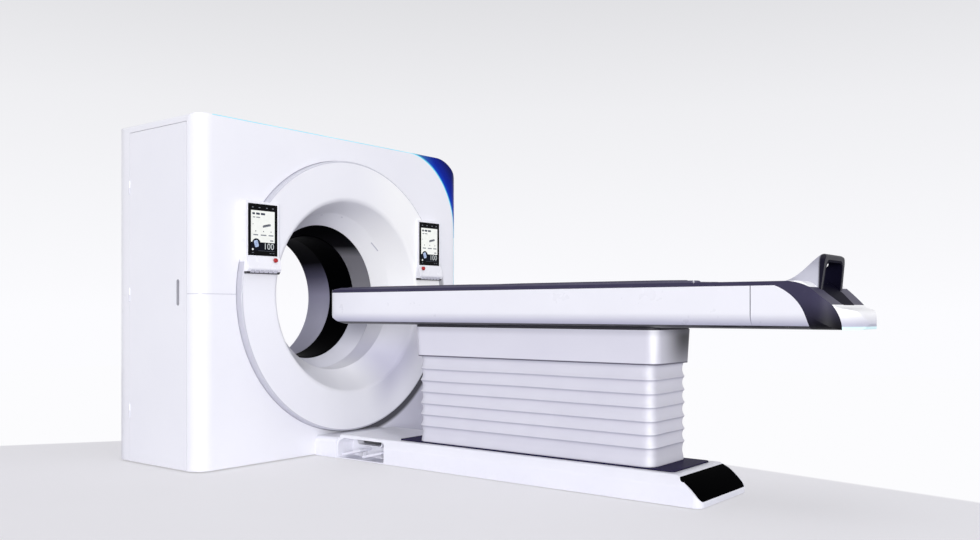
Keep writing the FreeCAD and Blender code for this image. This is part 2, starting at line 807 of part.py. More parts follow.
def console(side):
    """Housing, screen, keys and emergency button of one operator panel."""
    x = side * console_x
    half = console_width / 2
    outline = [
        (front, console_bottom, 0),
        (front, console_top, 0),
        (front - console_stand_out, console_top, console_edge_radius),
        (front - console_stand_out, console_chin_top, 0),
        (front - console_stand_out - 6, console_chin_top - 3, 2),
        (front - console_chin_front, console_chin_low, 5),
        (front - console_stand_out, console_bottom, console_edge_radius),
    ]
    body = along_x(rounded_face("yz", outline), x - half, x + half)
    plan = [(x - half, front + 1, 0), (x + half, front + 1, 0),
            (x + half, front - console_chin_front - 5, 16), (x - half, front - console_chin_front - 5, 16)]
    body = body.common(along_z(rounded_face("xy", plan), console_bottom - 1, console_top + 1))
    body = body.cut(cylinder_y(ring_radius, front - ring_stand_out, front + 5))
    face = front - console_stand_out
    screen = box(x - screen_width / 2, face, screen_bottom, x + screen_width / 2,
                 face + screen_thickness, screen_bottom + screen_height)
    stop_x = stop_place(side)
    floor = front - stop_cup_floor
    cup = cylinder_y(stop_cup_radius, floor - 40, floor, stop_x, stop_height)
    stem_hole = cylinder_y(stop_stem_radius + stop_stem_clearance, floor - 1,
                           floor + stop_hole_depth, stop_x, stop_height)
    housing = body.cut([screen, cup, stem_hole])
    head_back = floor - stop_head_gap
    head = cylinder_y(stop_radius, head_back - stop_head_length, head_back, stop_x, stop_height)
    head = head.makeFillet(4, [edge for edge in head.Edges
                               if abs(edge.CenterOfMass.y - (head_back - stop_head_length)) < 0.1
                               and edge.Length > stop_radius * 5])
    stem = cylinder_y(stop_stem_radius, head_back - 1, head_back + stop_stem_length, stop_x, stop_height)
    return housing, screen, key_strip(x), join(head, stem)


def consoles(parts):
    pair = [console(side) for side in (-1, 1)]
    parts["console_housings"] = group(*[panel[0] for panel in pair])
    parts["console_screens"] = group(*[panel[1] for panel in pair])
    parts["console_keys"] = group(*[panel[2] for panel in pair])
    parts["emergency_button_left"] = pair[0][3]
    parts["emergency_button_right"] = pair[1][3]


def key_strip(x):
    """Row of keys on the bevel under the control box."""
    y0, z0 = front - console_chin_front, console_chin_low
    y1, z1 = front - console_stand_out, console_bottom
    length = math.hypot(y1 - y0, z1 - z0)
    slope = math.degrees(math.atan2(z1 - z0, y1 - y0))
    middle = Vector(x, (y0 + y1) / 2, (z0 + z1) / 2)
    keys = []
    for i in range(key_count):
        offset = (i - (key_count - 1) / 2) * key_pitch
        key = box(-key_width / 2, -min(key_height, length - 12) / 2, -key_proud,
                  key_width / 2, min(key_height, length - 12) / 2, 0)
        key.translate(Vector(offset, 0, 0))
        key.rotate(Vector(0, 0, 0), Vector(1, 0, 0), slope)
        key.translate(middle)
        keys.append(key)
    return group(*keys)


# ---- frame, bearing, rotor and drive --------------------------------------------------------
def gantry_frame(parts):
    rail_low, rail_high = pad_thickness, pad_thickness + rail_height
    rail_outer = rail_inner_x + rail_width
    end = anchor_y + pad_reach / 2
    pieces = []
    holes = []
    for side in (-1, 1):
        pieces.append(box(side * rail_inner_x, -end, rail_low, side * rail_outer, end, rail_high))
        for along in (-1, 1):
            y = along * anchor_y
            pieces.append(box(side * rail_inner_x, y - pad_reach / 2, 0,
                              side * (rail_outer + pad_reach), y + pad_reach / 2, rail_low))
            holes.append(cylinder_z(anchor_hole_radius, side * anchor_x, y, -1, rail_low + 1))
    stand_middle = stand_front + stand_thickness / 2
    for y in (-end + cross_beam_width / 2, 0, stand_middle, end - cross_beam_width / 2):
        pieces.append(box(-rail_inner_x, y - cross_beam_width / 2, rail_low, rail_inner_x,
                          y + cross_beam_width / 2, rail_high))
    front_in, rear_in = front + cover_wall, rear_depth - cover_wall
    for x in (-bracket_x, bracket_x):
        for y0, y1 in ((front_in, -end), (end, rear_in)):
            pieces.append(box(x - bracket_width / 2, y0, rail_low + 20, x + bracket_width / 2, y1,
                              rail_high - 20))
    parts["gantry_base_frame"] = join(*pieces).cut(holes)

    # stand: a plate with a round hole on two legs
    stand_back = stand_front + stand_thickness
    hip = stand_ring_radius - 60
    legs = rounded_face("xz", [(-stand_foot_half, rail_high, 0), (stand_foot_half, rail_high, 0),
                               (hip, iso_height, 0), (-hip, iso_height, 0)])
    plate = join(along_y(legs, stand_front, stand_back),
                 cylinder_y(stand_ring_radius, stand_front, stand_back))
    window = rounded_face("xz", [(-190, rail_high + 60, 30), (190, rail_high + 60, 30),
                                 (120, 300, 30), (-120, 300, 30)])
    plate = plate.cut([cylinder_y(stand_hole_radius, stand_front - 1, stand_back + 1),
                       along_y(window, stand_front - 1, stand_back + 1)])
    gussets = []
    for side in (-1, 1):
        x = side * gusset_x
        toe = end - 20
        heel = stand_back - 1
        web = rounded_face("yz", [(heel, rail_high, 0), (toe, rail_high, 0), (toe, rail_high + 30, 0),
                                  (heel, rail_high + gusset_height, 0)])
        gussets.append(along_x(web, x - gusset_thickness / 2, x + gusset_thickness / 2))
    # strut that carries the top cover
    strut = box(-bracket_width / 2, stand_front, iso_height + stand_ring_radius - 5, bracket_width / 2,
                stand_back, gantry_height - cover_wall)
    parts["gantry_stand"] = join(plate, strut, *gussets)

    rotor_back = bearing_front
    split = bearing_split_radius
    parts["bearing_outer_race"] = tube_y(bearing_outer_radius, split + bearing_clearance / 2,
                                         rotor_back + 2, stand_front)
    parts["bearing_inner_race"] = tube_y(split - bearing_clearance / 2, slip_ring_outer + 8,
                                         rotor_back, stand_front - 2)
    rotor_front = rotor_back - rotor_plate_thickness
    weights = [ring_sector(weight_outer_radius, weight_inner_radius, rotor_front - weight_length,
                           rotor_front + 1, 270 + side * weight_angle, weight_half_angle) for side in (-1, 1)]
    parts["rotor_drum"] = join(
        tube_y(rotor_radius, rotor_bore_radius, rotor_front, rotor_back),
        tube_y(rotor_radius, rotor_radius - rotor_rim_wall, rotor_rim_front, rotor_back), *weights)
    tracks = [tube_y(slip_ring_outer + 1, slip_ring_outer - slip_track_depth, y, y + 6)
              for y in (stand_back + 8 + 10.5 * i for i in range(slip_track_count))]
    parts["slip_ring"] = tube_y(slip_ring_outer, slip_ring_inner, rotor_back, slip_ring_end).cut(tracks)
    brush = box(slip_ring_outer + brush_gap, stand_back, iso_height - 45,
                slip_ring_outer + 80, slip_ring_end - 6, iso_height + 45)
    brush = brush.cut(cylinder_y(slip_ring_outer + brush_gap, stand_back - 1, slip_ring_end + 1))
    brush.rotate(Vector(0, 0, iso_height), Vector(0, 1, 0), -brush_angle)
    parts["brush_block"] = brush


def rotor_parts(parts):
    mount = bearing_front - rotor_plate_thickness
    tube_z = iso_height + tube_orbit
    tube = join(cylinder_y(tube_radius, mount - tube_length, mount, 0, tube_z),
                cylinder_y(tube_cap_radius, mount - tube_length - tube_cap_length, mount, 0, tube_z))
    parts["xray_tube"] = tube
    slit = box(-collimator_half_width + 30, -12, iso_height + collimator_inner - 1,
               collimator_half_width - 30, 12, tube_z - tube_radius + 12)
    body = box(-collimator_half_width, -collimator_half_length, iso_height + collimator_inner,
               collimator_half_width, collimator_half_length, tube_z - tube_radius + 12)
    parts["collimator"] = body.cut([slit, cylinder_y(tube_radius, -front_depth, rear_depth, 0, tube_z)])
    arc = ring_sector(detector_outer_radius, detector_inner_radius, -detector_half_length,
                      detector_half_length, 270, detector_half_angle)
    bracket = ring_sector(detector_outer_radius - 10, detector_inner_radius + 40, detector_half_length - 1,
                          mount, 270, detector_half_angle * 0.8)
    parts["detector_arc"] = join(arc, bracket)
    low, high = iso_height - unit_half_height, iso_height + unit_half_height
    generator = rounded_box(unit_inner, -unit_front, low, unit_outer, mount, high, unit_rounding)
    fins = []
    for i in range(fin_count):
        fin_low = low + fin_first + fin_pitch * i
        fins.append(box(unit_outer - fin_depth, -unit_front - 1, fin_low, unit_outer + 1, fin_back,
                        fin_low + fin_slot))
    parts["hv_generator"] = generator.cut(fins)
    cooler = rounded_box(-unit_outer, -unit_front, low, -unit_inner, mount, high, unit_rounding)
    fans, hubs = [], []
    fan_x = -(unit_inner + unit_outer) / 2
    fan_back = fan_depth - unit_front
    for fan_z in (iso_height - fan_offset, iso_height + fan_offset):
        fans.append(cylinder_y(fan_radius, -unit_front - 1, fan_back, fan_x, fan_z))
        hubs.append(cylinder_y(fan_hub_radius, -unit_front + 10, fan_back, fan_x, fan_z))
    parts["cooling_unit"] = join(cooler.cut(fans), *hubs)


def belt_outline(grow):
    """Face round the drum and the pulley: two circles and their outer tangents."""
    big, small = rotor_radius + belt_clearance + grow, pulley_radius + belt_clearance + grow
    run = math.hypot(pulley_x, pulley_z - iso_height)
    direction = math.atan2(pulley_z - iso_height, pulley_x)
    lean = math.acos((big - small) / run)

    def on(radius, x, z, angle):
        return Vector(x + radius * math.cos(angle), 0, z + radius * math.sin(angle))

    first, second = direction + lean, direction - lean
    a, b = on(big, 0, iso_height, first), on(small, pulley_x, pulley_z, first)
    c, d = on(small, pulley_x, pulley_z, second), on(big, 0, iso_height, second)
    nose = on(small, pulley_x, pulley_z, direction)
    far = on(big, 0, iso_height, direction + math.pi)
    edges = [Part.makeLine(a, b), Part.Arc(b, nose, c).toShape(), Part.makeLine(c, d),
             Part.Arc(d, far, a).toShape()]
    return Part.Face(Part.Wire(edges))


def drive_parts(parts):
    y0, y1 = belt_front, belt_front + belt_width
    belt = along_y(belt_outline(belt_thickness), y0, y1).cut(along_y(belt_outline(0), y0 - 1, y1 + 1))
    parts["drive_belt"] = belt
    motor_end = y0 - motor_gap
    dish = tube_y(pulley_radius - 16, motor_shaft_radius + 14, y1 - 8, y1 + 5, pulley_x, pulley_z)
    pulley = join(cylinder_y(pulley_radius, y0 - 4, y1 + 4, pulley_x, pulley_z),
                  cylinder_y(motor_shaft_radius, motor_end + shaft_gap, y1 + 12, pulley_x, pulley_z))
    parts["motor_pulley"] = pulley.cut(dish)
    rail_high = pad_thickness + rail_height
    start = motor_end - motor_length
    body = cylinder_y(motor_radius, start, motor_end, pulley_x, pulley_z)
    foot = box(pulley_x - 80, start + 30, rail_high, pulley_x + 80, motor_end - 10,
               pulley_z - motor_radius + 22)
    terminal_box = box(pulley_x - 45, start + 60, pulley_z + motor_radius - 12, pulley_x + 45, start + 150,
                       pulley_z + motor_radius + 26)
    parts["drive_motor"] = join(body, foot, terminal_box)


# ---- table base -----------------------------------------------------------------------------
def base_form(inset, bottom):
    """Outer form of the table's base, or its inside where inset is the wall."""
    half, top_half = base_half_width - inset, base_top_half_width - inset
    top = base_height - inset
    section = [(-half, bottom, 0), (half, bottom, 0), (half - 1, base_shoulder_height, 26),
               (top_half, top, 14), (-top_half, top, 14), (-half + 1, base_shoulder_height, 26)]
    body = along_y(rounded_face("xz", section), front - base_length, front - inset)
    end, end_top = front - base_length + inset, front - base_end_top + inset
    bulge = base_end_bulge / math.sqrt(2)
    side = [(front, bottom, 0), (front, top, 0), (end_top, top, 16),
            ((end + end_top) / 2 - bulge, (top + base_end_lip) / 2 + bulge, base_end_bend - inset),
            (end, base_end_lip, 10), (end, bottom, 0)]
    body = body.common(along_x(rounded_face("yz", side), -half, half))
    plan = [(-half, front, 0), (half, front, 0), (half, end, 42), (-half, end, 42)]
    return body.common(along_z(rounded_face("xy", plan), bottom, top))


def foot_pocket(side, grow):
    """Arched pocket in the base's side that holds the two pedals."""
    y0, y1 = front - pocket_end - grow, front - pocket_start + grow
    outline = [(y0, pocket_floor - grow, 0), (y1, pocket_floor - grow, 0),
               (y1, pocket_top + grow, pocket_corner), (y0, pocket_top + grow, pocket_corner)]
    inner, outer = side * (pocket_inner - grow), side * (base_half_width + 20)
    pocket = along_x(rounded_face("yz", outline), inner, outer)
    guard_low, guard_high = guard_bottom + grow, pocket_top + 2 * grow + 1
    far, near = front - guard_end + grow, front - guard_start - grow
    guard = [(far, guard_low, 18), (near, guard_low, 18), (near, guard_high, 0), (far, guard_high, 0)]
    guard_block = along_x(rounded_face("yz", guard), inner - side, inner + side * (guard_depth + grow))
    return pocket.cut(guard_block)


def table_base(parts):
    pockets = [foot_pocket(side, 0) for side in (-1, 1)]
    thick = [foot_pocket(side, base_wall) for side in (-1, 1)]
    outer = base_form(0, base_floor_gap).cut(pockets)
    bridge_limit = front - bridge_length
    inner = base_form(base_wall, -5).cut(thick)
    inner = inner.cut(box(-far_side, bridge_limit - base_wall, -10, far_side, front + 5, far_side))
    deck_end = base_end_top - deck_margin
    deck_half = base_top_half_width - deck_margin
    opening = rounded_box(-base_plate_half, front - base_plate_end, 60, base_plate_half,
                          front - base_plate_start, base_height + 5, 20)
    cover = outer.cut([inner, opening])
    slant = end_panel()
    cover = cover.cut([slant, box(-far_side, bridge_limit, -5, far_side, front + 5, far_side)])
    bridge = [(-bridge_half_width, base_floor_gap, 0), (bridge_half_width, base_floor_gap, 0),
              (bridge_half_width, bridge_height, 26), (-bridge_half_width, bridge_height, 26)]
    block = along_y(rounded_face("xz", bridge), bridge_limit, front)
    block = block.cut(cylinder_y(ring_radius + bridge_gap, front - ring_stand_out - bridge_gap, front + 5))
    grooves = []
    for side in (-1, 1):
        x = side * bridge_half_width
        grooves.append(box(x - side * 3, bridge_limit + 30, bridge_height - 34, x + side, front - 40,
                           bridge_height - 30))
        grooves.append(box(x - side * 2, bridge_limit + 30, 18, x + side, front - 40, 21))
    parts["table_base_cover"] = group(join(cover, *pedal_pins()), block.cut(grooves))
    hole = rounded_box(-bellows_inner_half, front - bellows_inner_end, base_height - 5, bellows_inner_half,
                       front - bellows_inner_start, base_height + 20, 30)
    deck = rounded_box(-deck_half, front - deck_end, base_height, deck_half, front - deck_start,
                       base_height + deck_thickness, 24)
    parts["base_dark_panels"] = group(deck.cut(hole), slant)
    plate = box(-base_plate_half + 8, front - base_plate_end + 8, 0, base_plate_half - 8,
                front - base_plate_start - 8, base_plate_thickness)
    anchors = [cylinder_z(anchor_hole_radius, side * table_anchor_x, front - y, -1, base_plate_thickness + 1)
               for side in (-1, 1) for y in (table_anchor_start, table_anchor_end)]
    half = deck_post / 2
    posts = [box(side * deck_post_x - half, front - y - half, base_plate_thickness, side * deck_post_x + half,
                 front - y + half, base_height) for side in (-1, 1) for y in deck_post_places]
    tubes = stage(base_plate_thickness, outer_high, 0)
    parts["table_base_plate"] = join(plate, *posts, *tubes).cut(anchors)


def end_panel():
    """Black panel let into the sloping end, with a white rim left round it."""
    half = base_half_width - end_panel_rim
    y0, y1 = front - base_end_top - end_panel_rim, front - base_length + end_panel_thickness
    round_by = end_panel_corner
    plan = [(-half, y0, round_by), (half, y0, round_by), (half, y1, round_by), (-half, y1, round_by)]
    column = along_z(rounded_face("xy", plan), base_end_lip - 10, base_height + 10)
    skin = base_form(0, base_floor_gap).cut(base_form(end_panel_thickness, -5))
    piece = skin.common(column)
    return max(piece.Solids, key=lambda solid: solid.Volume)


def pedal(side, start):
    """Foot pedal: a sloping tread on an arm with a knuckle round its pin."""
    y0, y1 = front - start - pedal_length, front - start
    outline = [(y0, pedal_high - pedal_thick, 3), (y1, pedal_low - pedal_thick, 3),
               (y1, pedal_low, 3), (y0, pedal_high, 3)]
    x_in, x_out = pedal_pin_x + pedal_tread_gap, pedal_reach
    tread = along_x(rounded_face("yz", outline), side * x_in, side * x_out)
    z = (pedal_low + pedal_high) / 2 - pedal_thick / 2
    middle = (y0 + y1) / 2
    arm = box(side * pedal_pin_x, middle - 16, z - 5, side * (x_in + 6), middle + 16, z + 5)
    knuckle = cylinder_y(9, middle - 16, middle + 16, side * pedal_pin_x, z)
    hole = cylinder_y(pedal_pin_radius + pedal_pin_clearance, middle - 20, middle + 20, side * pedal_pin_x, z)
    return join(tread, arm, knuckle).cut(hole)


def pedal_pins():
    pins = []
    z = (pedal_low + pedal_high) / 2 - pedal_thick / 2
    for side in (-1, 1):
        for start in pedal_starts:
            middle = front - start - pedal_length / 2
            pin = cylinder_y(pedal_pin_radius, middle - 26, middle + 26, side * pedal_pin_x, z)
            ears = [box(side * pocket_inner, middle + s * 17, pocket_floor, side * (pedal_pin_x + 9),
                        middle + s * 24, z + 9) for s in (-1, 1)]
            pins.append(join(pin, *ears))
    return pins


# ---- bellows and lift -----------------------------------------------------------------------
def bellows():
    low = base_height + deck_thickness
    pitch = (bellows_top - low) / bellows_folds
    wires = []
    for i in range(2 * bellows_folds + 1):
        inset = bellows_fold_depth if i % 2 == 0 else 0.0
        if i == 0:
            inset = bellows_foot_inset
        wires.append(rounded_wire(-bellows_half_width + inset, front - bellows_end + inset,
                                  bellows_half_width - inset, front - bellows_start - inset,
                                  bellows_corner - inset, low + i * pitch / 2))
    outside = Part.makeLoft(wires, True, True)
    inside = rounded_box(-bellows_inner_half, front - bellows_inner_end, low - 1, bellows_inner_half,
                         front - bellows_inner_start, bellows_top + 1, bellows_inner_corner)
    return outside.cut(inside)


def stage(low, high, shrink):
    """One telescope stage on both column centres."""
    half_x = column_outer_x / 2 - shrink * (column_wall + column_step)
    half_y = column_outer_y / 2 - shrink * (column_wall + column_step)
    in_x, in_y = half_x - column_wall, half_y - column_wall
    tubes = []
    for centre in column_centres:
        y = front - centre
        outer = box(-half_x, y - half_y, low, half_x, y + half_y, high)
        tubes.append(outer.cut(box(-in_x, y - in_y, low - 1, in_x, y + in_y, high + 1)))
    return tubes


def table_lift(parts):
    parts["bellows"] = bellows()
    parts["lift_column_middle"] = group(*stage(middle_low, middle_high, 1))
    head_low = cover_top - head_plate_thickness
    gap = cover_thickness + head_plate_clearance
    head = rounded_box(-cover_top_half + gap, front - cover_end + gap, head_low, cover_top_half - gap,
                       front - cover_start - gap, cover_top, cover_corner - gap)
    inset = cover_thickness / 2
    half = cover_top_half - inset
    spacer = rounded_box(-half, front - cover_end + inset, cover_top, half, front - cover_start - inset,
                         table_bottom, cover_corner - inset)
    parts["lift_column_inner"] = join(head, spacer, *stage(inner_low, head_low, 2))
    middle = front - (column_centres[0] + column_centres[1]) / 2
    parts["lift_drive"] = join(
        cylinder_y(lift_drive_radius, middle - lift_drive_length / 2, middle + lift_drive_length / 2,
                   0, base_plate_thickness + lift_drive_radius + 14),
        box(-40, middle - 70, base_plate_thickness, 40, middle + 70, base_plate_thickness + 30))
    parts["column_cover"] = column_cover()


def column_cover():
    """Cover above the bellows, a little wider at the top, with a ledge for the bellows' upper end."""
    lean = cover_top_half - cover_low_half

    def form(inset, low, high):
        corner = cover_corner - inset
        y0, y1 = front - cover_end + inset, front - cover_start - inset
        half_low, half_high = cover_low_half - inset, cover_top_half - inset
        wires = [rounded_wire(-half_low, y0 + lean / 2, half_low, y1 - lean / 2, corner, low),
                 rounded_wire(-half_high, y0, half_high, y1, corner, high)]
        return Part.makeLoft(wires, True, True)

    shell = form(0, bellows_top, cover_top).cut(form(cover_thickness, bellows_top - 1, cover_top + 1))
    ledge = rounded_box(-cover_low_half + 2, front - cover_end + 8, bellows_top, cover_low_half - 2,
                        front - cover_start - 8, bellows_top + ledge_thickness, cover_corner - 4)
    way = rounded_box(-bellows_inner_half, front - bellows_inner_end, bellows_top - 1, bellows_inner_half,
                      front - bellows_inner_start, bellows_top + ledge_thickness + 1, bellows_inner_corner)
    return join(shell, ledge.cut(way))


# ---- table top ------------------------------------------------------------------------------
def table_section(inset, top):
    half = table_half_width - inset
    bottom = table_bottom + inset
    radius = table_under_radius - inset
    return [(-half, top, 0), (half, top, 0), (half, bottom, radius), (-half, bottom, radius)]


def table_form(inset, top):
    """Long body of the table top, with its tip rounded in side view and from above."""
    y_tip, y_end = front - table_tip - inset, front - table_seam
    half, corner = table_half_width - inset, table_tip_corner - inset
    bottom = table_bottom + inset
    body = along_y(rounded_face("xz", table_section(inset, top)), y_end, y_tip)
    low, high = bottom - table_tip_lap, top + table_tip_lap
    side = [(y_end, low, 0), (y_end, high, 0), (y_tip, high, 0), (y_tip, low, table_tip_radius - inset)]
    body = body.common(along_x(rounded_face("yz", side), -half - 5, half + 5))
    plan = [(-half, y_end, 0), (half, y_end, 0), (half, y_tip, corner), (-half, y_tip, corner)]
    return body.common(along_z(rounded_face("xy", plan), bottom - 5, top + 5))


def trough_circle():
    """Radius and centre height of the cradle's round underside."""
    half, drop = cradle_trough_half, cradle_trough_drop
    radius = (half * half + drop * drop) / (2 * drop)
    return radius, table_level + slide_clearance - drop + radius


def table_top(parts):
    side_top = table_side_top
    outer = table_form(0, side_top)
    inner = table_form(table_wall, side_top + 1)
    inner = inner.common(box(-far_side, front - table_seam + table_wall, 0, far_side, front, far_up))
    tip = front - table_tip
    notch = box(-well_half_width, tip - 60, deck_level + deck_plate_thickness, well_half_width, tip + 5,
                side_top + 5)
    frame = outer.cut([inner, notch])
    parts["table_frame"] = frame
    well = table_half_width - table_wall
    plate = box(-well, front - table_seam + table_wall, deck_level, well, front - table_tip - table_wall,
                deck_level + deck_plate_thickness)
    plate = plate.common(table_form(table_wall, side_top))
    rail_top = deck_level + deck_plate_thickness + slide_rail_height
    rail_start = front - table_tip - table_wall - 30
    deck_top, half = deck_level + deck_plate_thickness, slide_rail_width / 2
    rails = [box(side * slide_rail_x - half, front - tail_deck_start, deck_top, side * slide_rail_x + half,
                 rail_start, rail_top) for side in (-1, 1)]
    parts["table_deck"] = join(plate, *rails)

    # dark trim: a strip along each side, joined behind the cradle by a closing deck
    plan_half = table_half_width
    seam_y = front - table_seam
    tip_y = front - table_tip
    strips = []
    for side in (-1, 1):
        strips.append(box(side * (plan_half - trim_width), seam_y, side_top, side * plan_half, tip_y,
                          table_level))
    closing = box(-plan_half, seam_y, side_top, plan_half, front - tail_deck_start, table_level)
    trim = join(*strips, closing)
    plan = [(-plan_half, seam_y, 0), (plan_half, seam_y, 0), (plan_half, tip_y, table_tip_corner),
            (-plan_half, tip_y, table_tip_corner)]
    trim = trim.common(along_z(rounded_face("xy", plan), side_top - 5, table_level + 5))
    tail(parts, trim)
    cradle(parts, rail_top)


def tail_form():
    """Boat-shaped end of the table."""
    half = table_half_width
    y_start, y_end = front - table_seam, front - tail_length
    body = along_y(rounded_face("xz", table_section(0, table_level)), y_end, y_start)
    side = [
        (y_start, table_bottom, 0),
        (y_start, table_level, 0),
        (front - tail_slope_start, table_level, 60),
        (front - tail_slope_end, tail_slope_height, 50),
        (y_end + 26, tail_nose_top, 24),
        (y_end, tail_nose_top - 50, 20),
        (y_end + 16, table_bottom, 12),
    ]
    body = body.common(along_x(rounded_face("yz", side), -half - 1, half + 1))
    nose_y = front - tail_nose_start + 10
    centre = Vector(0, nose_y, 0)
    reach = nose_y - y_end
    major, minor = (half, reach) if half >= reach else (reach, half)
    if half >= reach:
        curve = Part.Ellipse(centre + Vector(major, 0, 0), centre + Vector(0, minor, 0), centre)
    else:
        curve = Part.Ellipse(centre + Vector(0, major, 0), centre + Vector(minor, 0, 0), centre)
    oval = Part.Face(Part.Wire(curve.toShape())).extrude(Vector(0, 0, far_up))
    keep = join(box(-half, nose_y, 0, half, y_start, far_up), oval)
    return body.common(keep)


def band_cut(start, reach):
    """Everything on the gantry's side of one edge of the dark band."""
    height = table_level - table_bottom + 2
    centre = Vector(0, front - start, table_bottom - 1)
    if reach >= height:
        curve = Part.Ellipse(centre + Vector(0, -reach, 0), centre + Vector(0, 0, height), centre)
    else:
        curve = Part.Ellipse(centre + Vector(0, 0, height), centre + Vector(0, -reach, 0), centre)
    oval = Part.Face(Part.Wire(curve.toShape()))
    oval.translate(Vector(-far_side, 0, 0))
    oval = oval.extrude(Vector(800, 0, 0))
    return join(box(-far_side, front - start, 0, far_side, front, far_up), oval)


def tail(parts, trim):
    whole = tail_form()
    near = band_cut(band_near, band_near_reach)
    far = band_cut(band_far, band_far_reach)
    strip = box(-far_side, front - band_far, table_side_top, far_side, front, far_up)
    near_body = near.cut(strip)
    cover = whole.common(near_body)
    band = whole.common(far).cut(near_body)
    nose = whole.cut(far)
    handle, lining, tongue = handle_pieces(whole)
    parts["tail_cover"] = cover
    parts["dark_trim"] = join(trim, band.cut(tongue))
    parts["tail_nose"] = nose.cut(tongue)
    parts["tail_handle"] = handle
    parts["tail_inlay"] = join(lining, tongue)


def handle_pieces(whole):
    """Arch across the tail: two fins joined by a grip bar, lined with a dark inlay."""
    foot = front - handle_foot
    low = table_level - 62
    start = Vector(0, foot, table_level)
    rise = Part.BSplineCurve()
    rise.interpolate([start, Vector(0, front - handle_mid, handle_mid_height),
                      Vector(0, front - handle_top_front, handle_top)],
                     InitialTangent=Vector(0, -1, 0.12), FinalTangent=Vector(0, -1, 1.0))
    top_back = Vector(0, front - handle_top_back, handle_top - 8)
    crest = Vector(0, front - (handle_top_front + handle_top_back) / 2 - 4, handle_top + 3)
    edges = [
        rise.toShape(),
        Part.Arc(Vector(0, front - handle_top_front, handle_top), crest, top_back).toShape(),
        Part.makeLine(top_back, Vector(0, front - handle_top_back + handle_back_lean, low)),
        Part.makeLine(Vector(0, front - handle_top_back + handle_back_lean, low), Vector(0, foot, low)),
        Part.makeLine(Vector(0, foot, low), start),
    ]
    side_view = Part.Face(Part.Wire(edges))
    half = handle_half_width
    top = handle_top + 6
    block = along_x(side_view, -half, half)
    y0, y1 = front - handle_top_back - 5, foot + 5
    arch = [(-half, low, 0), (half, low, 0), (half - 16, top, handle_outer_rounding),
            (-half + 16, top, handle_outer_rounding)]
    block = block.common(along_y(rounded_face("xz", arch), y0, y1))

    def opening(grow):
        inner = half - handle_leg + grow
        crown = handle_top - handle_bar + grow
        rounding = handle_inner_rounding + grow
        outline = [(-inner, low - 5, 0), (inner, low - 5, 0), (inner - 14, crown, rounding),
                   (-inner + 14, crown, rounding)]
        return along_y(rounded_face("xz", outline), y0 - 5, y1 + 5)

    lining = block.common(opening(handle_lining)).cut([opening(0), whole])
    handle = block.cut([opening(handle_lining), whole])
    # tongue let into the deck between the fins and down the slope
    tongue_y = front - tongue_start
    outline = [(-tongue_top_half, tongue_y, 20), (tongue_top_half, tongue_y, 20),
               (tongue_top_half, front - handle_top_back, 20), (tongue_end_half, front - tongue_end, 18),
               (-tongue_end_half, front - tongue_end, 18), (-tongue_top_half, front - handle_top_back, 20)]
    column = along_z(rounded_face("xy", outline), tail_nose_top - 60, table_level + 5)
    sunk = whole.copy()
    sunk.translate(Vector(0, 0, -tongue_sink))
    tongue = whole.common(column).cut(sunk)
    tongue = max(tongue.Solids, key=lambda solid: solid.Volume)
    return handle, lining, tongue


def cradle(parts, rail_top):
    radius, centre_z = trough_circle()
    low = table_level + slide_clearance
    rim_top = low + cradle_rim
    tip, end = front - table_tip, front - cradle_tail
    rims = box(-cradle_half_width, end, low, cradle_half_width, tip, rim_top)
    belly = cylinder_y(radius, end, tip, 0, centre_z).common(box(-far_side, end, 0, far_side, tip, low + 1))
    runners = [box(side * slide_rail_x - runner_width / 2, end, rail_top + slide_clearance,
                   side * slide_rail_x + runner_width / 2, tip - 60, low) for side in (-1, 1)]
    hollow_radius = radius - cradle_wall
    hollow = cylinder_y(hollow_radius, end - 1, tip + 1, 0, centre_z)
    runners = [runner.cut(hollow) for runner in runners]
    slab = join(rims, belly, *runners).cut(hollow)
    side = [(end, rail_top - 5, 0), (end, rim_top, 6), (tip - cradle_tip_bevel, rim_top, 60),
            (tip, rim_top - cradle_tip_drop, 3), (tip, rail_top - 5, 0)]
    slab = slab.common(along_x(rounded_face("yz", side), -far_side, far_side))
    corners = [(-cradle_half_width, end, 40), (cradle_half_width, end, 40),
               (cradle_half_width, tip, table_tip_corner), (-cradle_half_width, tip, table_tip_corner)]
    slab = slab.common(along_z(rounded_face("xy", corners), 0, far_up))
    parts["cradle"] = slab
    # mattress in the trough: it follows the trough and dips in the middle
    pad_radius = hollow_radius - pad_thick
    outer = cylinder_y(hollow_radius - 0.3, end + pad_end_gap, tip - pad_end_gap, 0, centre_z)
    inner = cylinder_y(pad_radius, end, tip, 0, centre_z)
    pad = outer.cut(inner).common(box(-pad_edge_half, end, 0, pad_edge_half, tip, rim_top + 6))
    parts["cradle_pad"] = pad


def build():
    parts = {}
    gantry_covers(parts)
    parts["door_hinges"] = door_hinges()
    for side, name in ((-1, "left"), (1, "right")):
        parts["side_door_" + name] = side_door(side)
        parts["door_grip_" + name] = door_grip(side)
    consoles(parts)
    gantry_frame(parts)
    rotor_parts(parts)
    drive_parts(parts)
    table_base(parts)
    for side, name in ((-1, "left"), (1, "right")):
        for start, use in zip(pedal_starts, ("up", "down")):
            parts["pedal_" + use + "_" + name] = pedal(side, start)
    table_lift(parts)
    table_top(parts)
    return parts


def main():
    os.makedirs("parts", exist_ok=True)
    for name, shape in build().items():
        shape.exportStep(os.path.join("parts", name + ".step"))
        print("%-22s solids %d valid %s volume %.4f m3" % (name, len(shape.Solids), shape.isValid(),
                                                          shape.Volume / 1e9))


main()
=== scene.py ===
import math
import json

import bmesh
import bpy
from mathutils import Matrix, Vector, noise


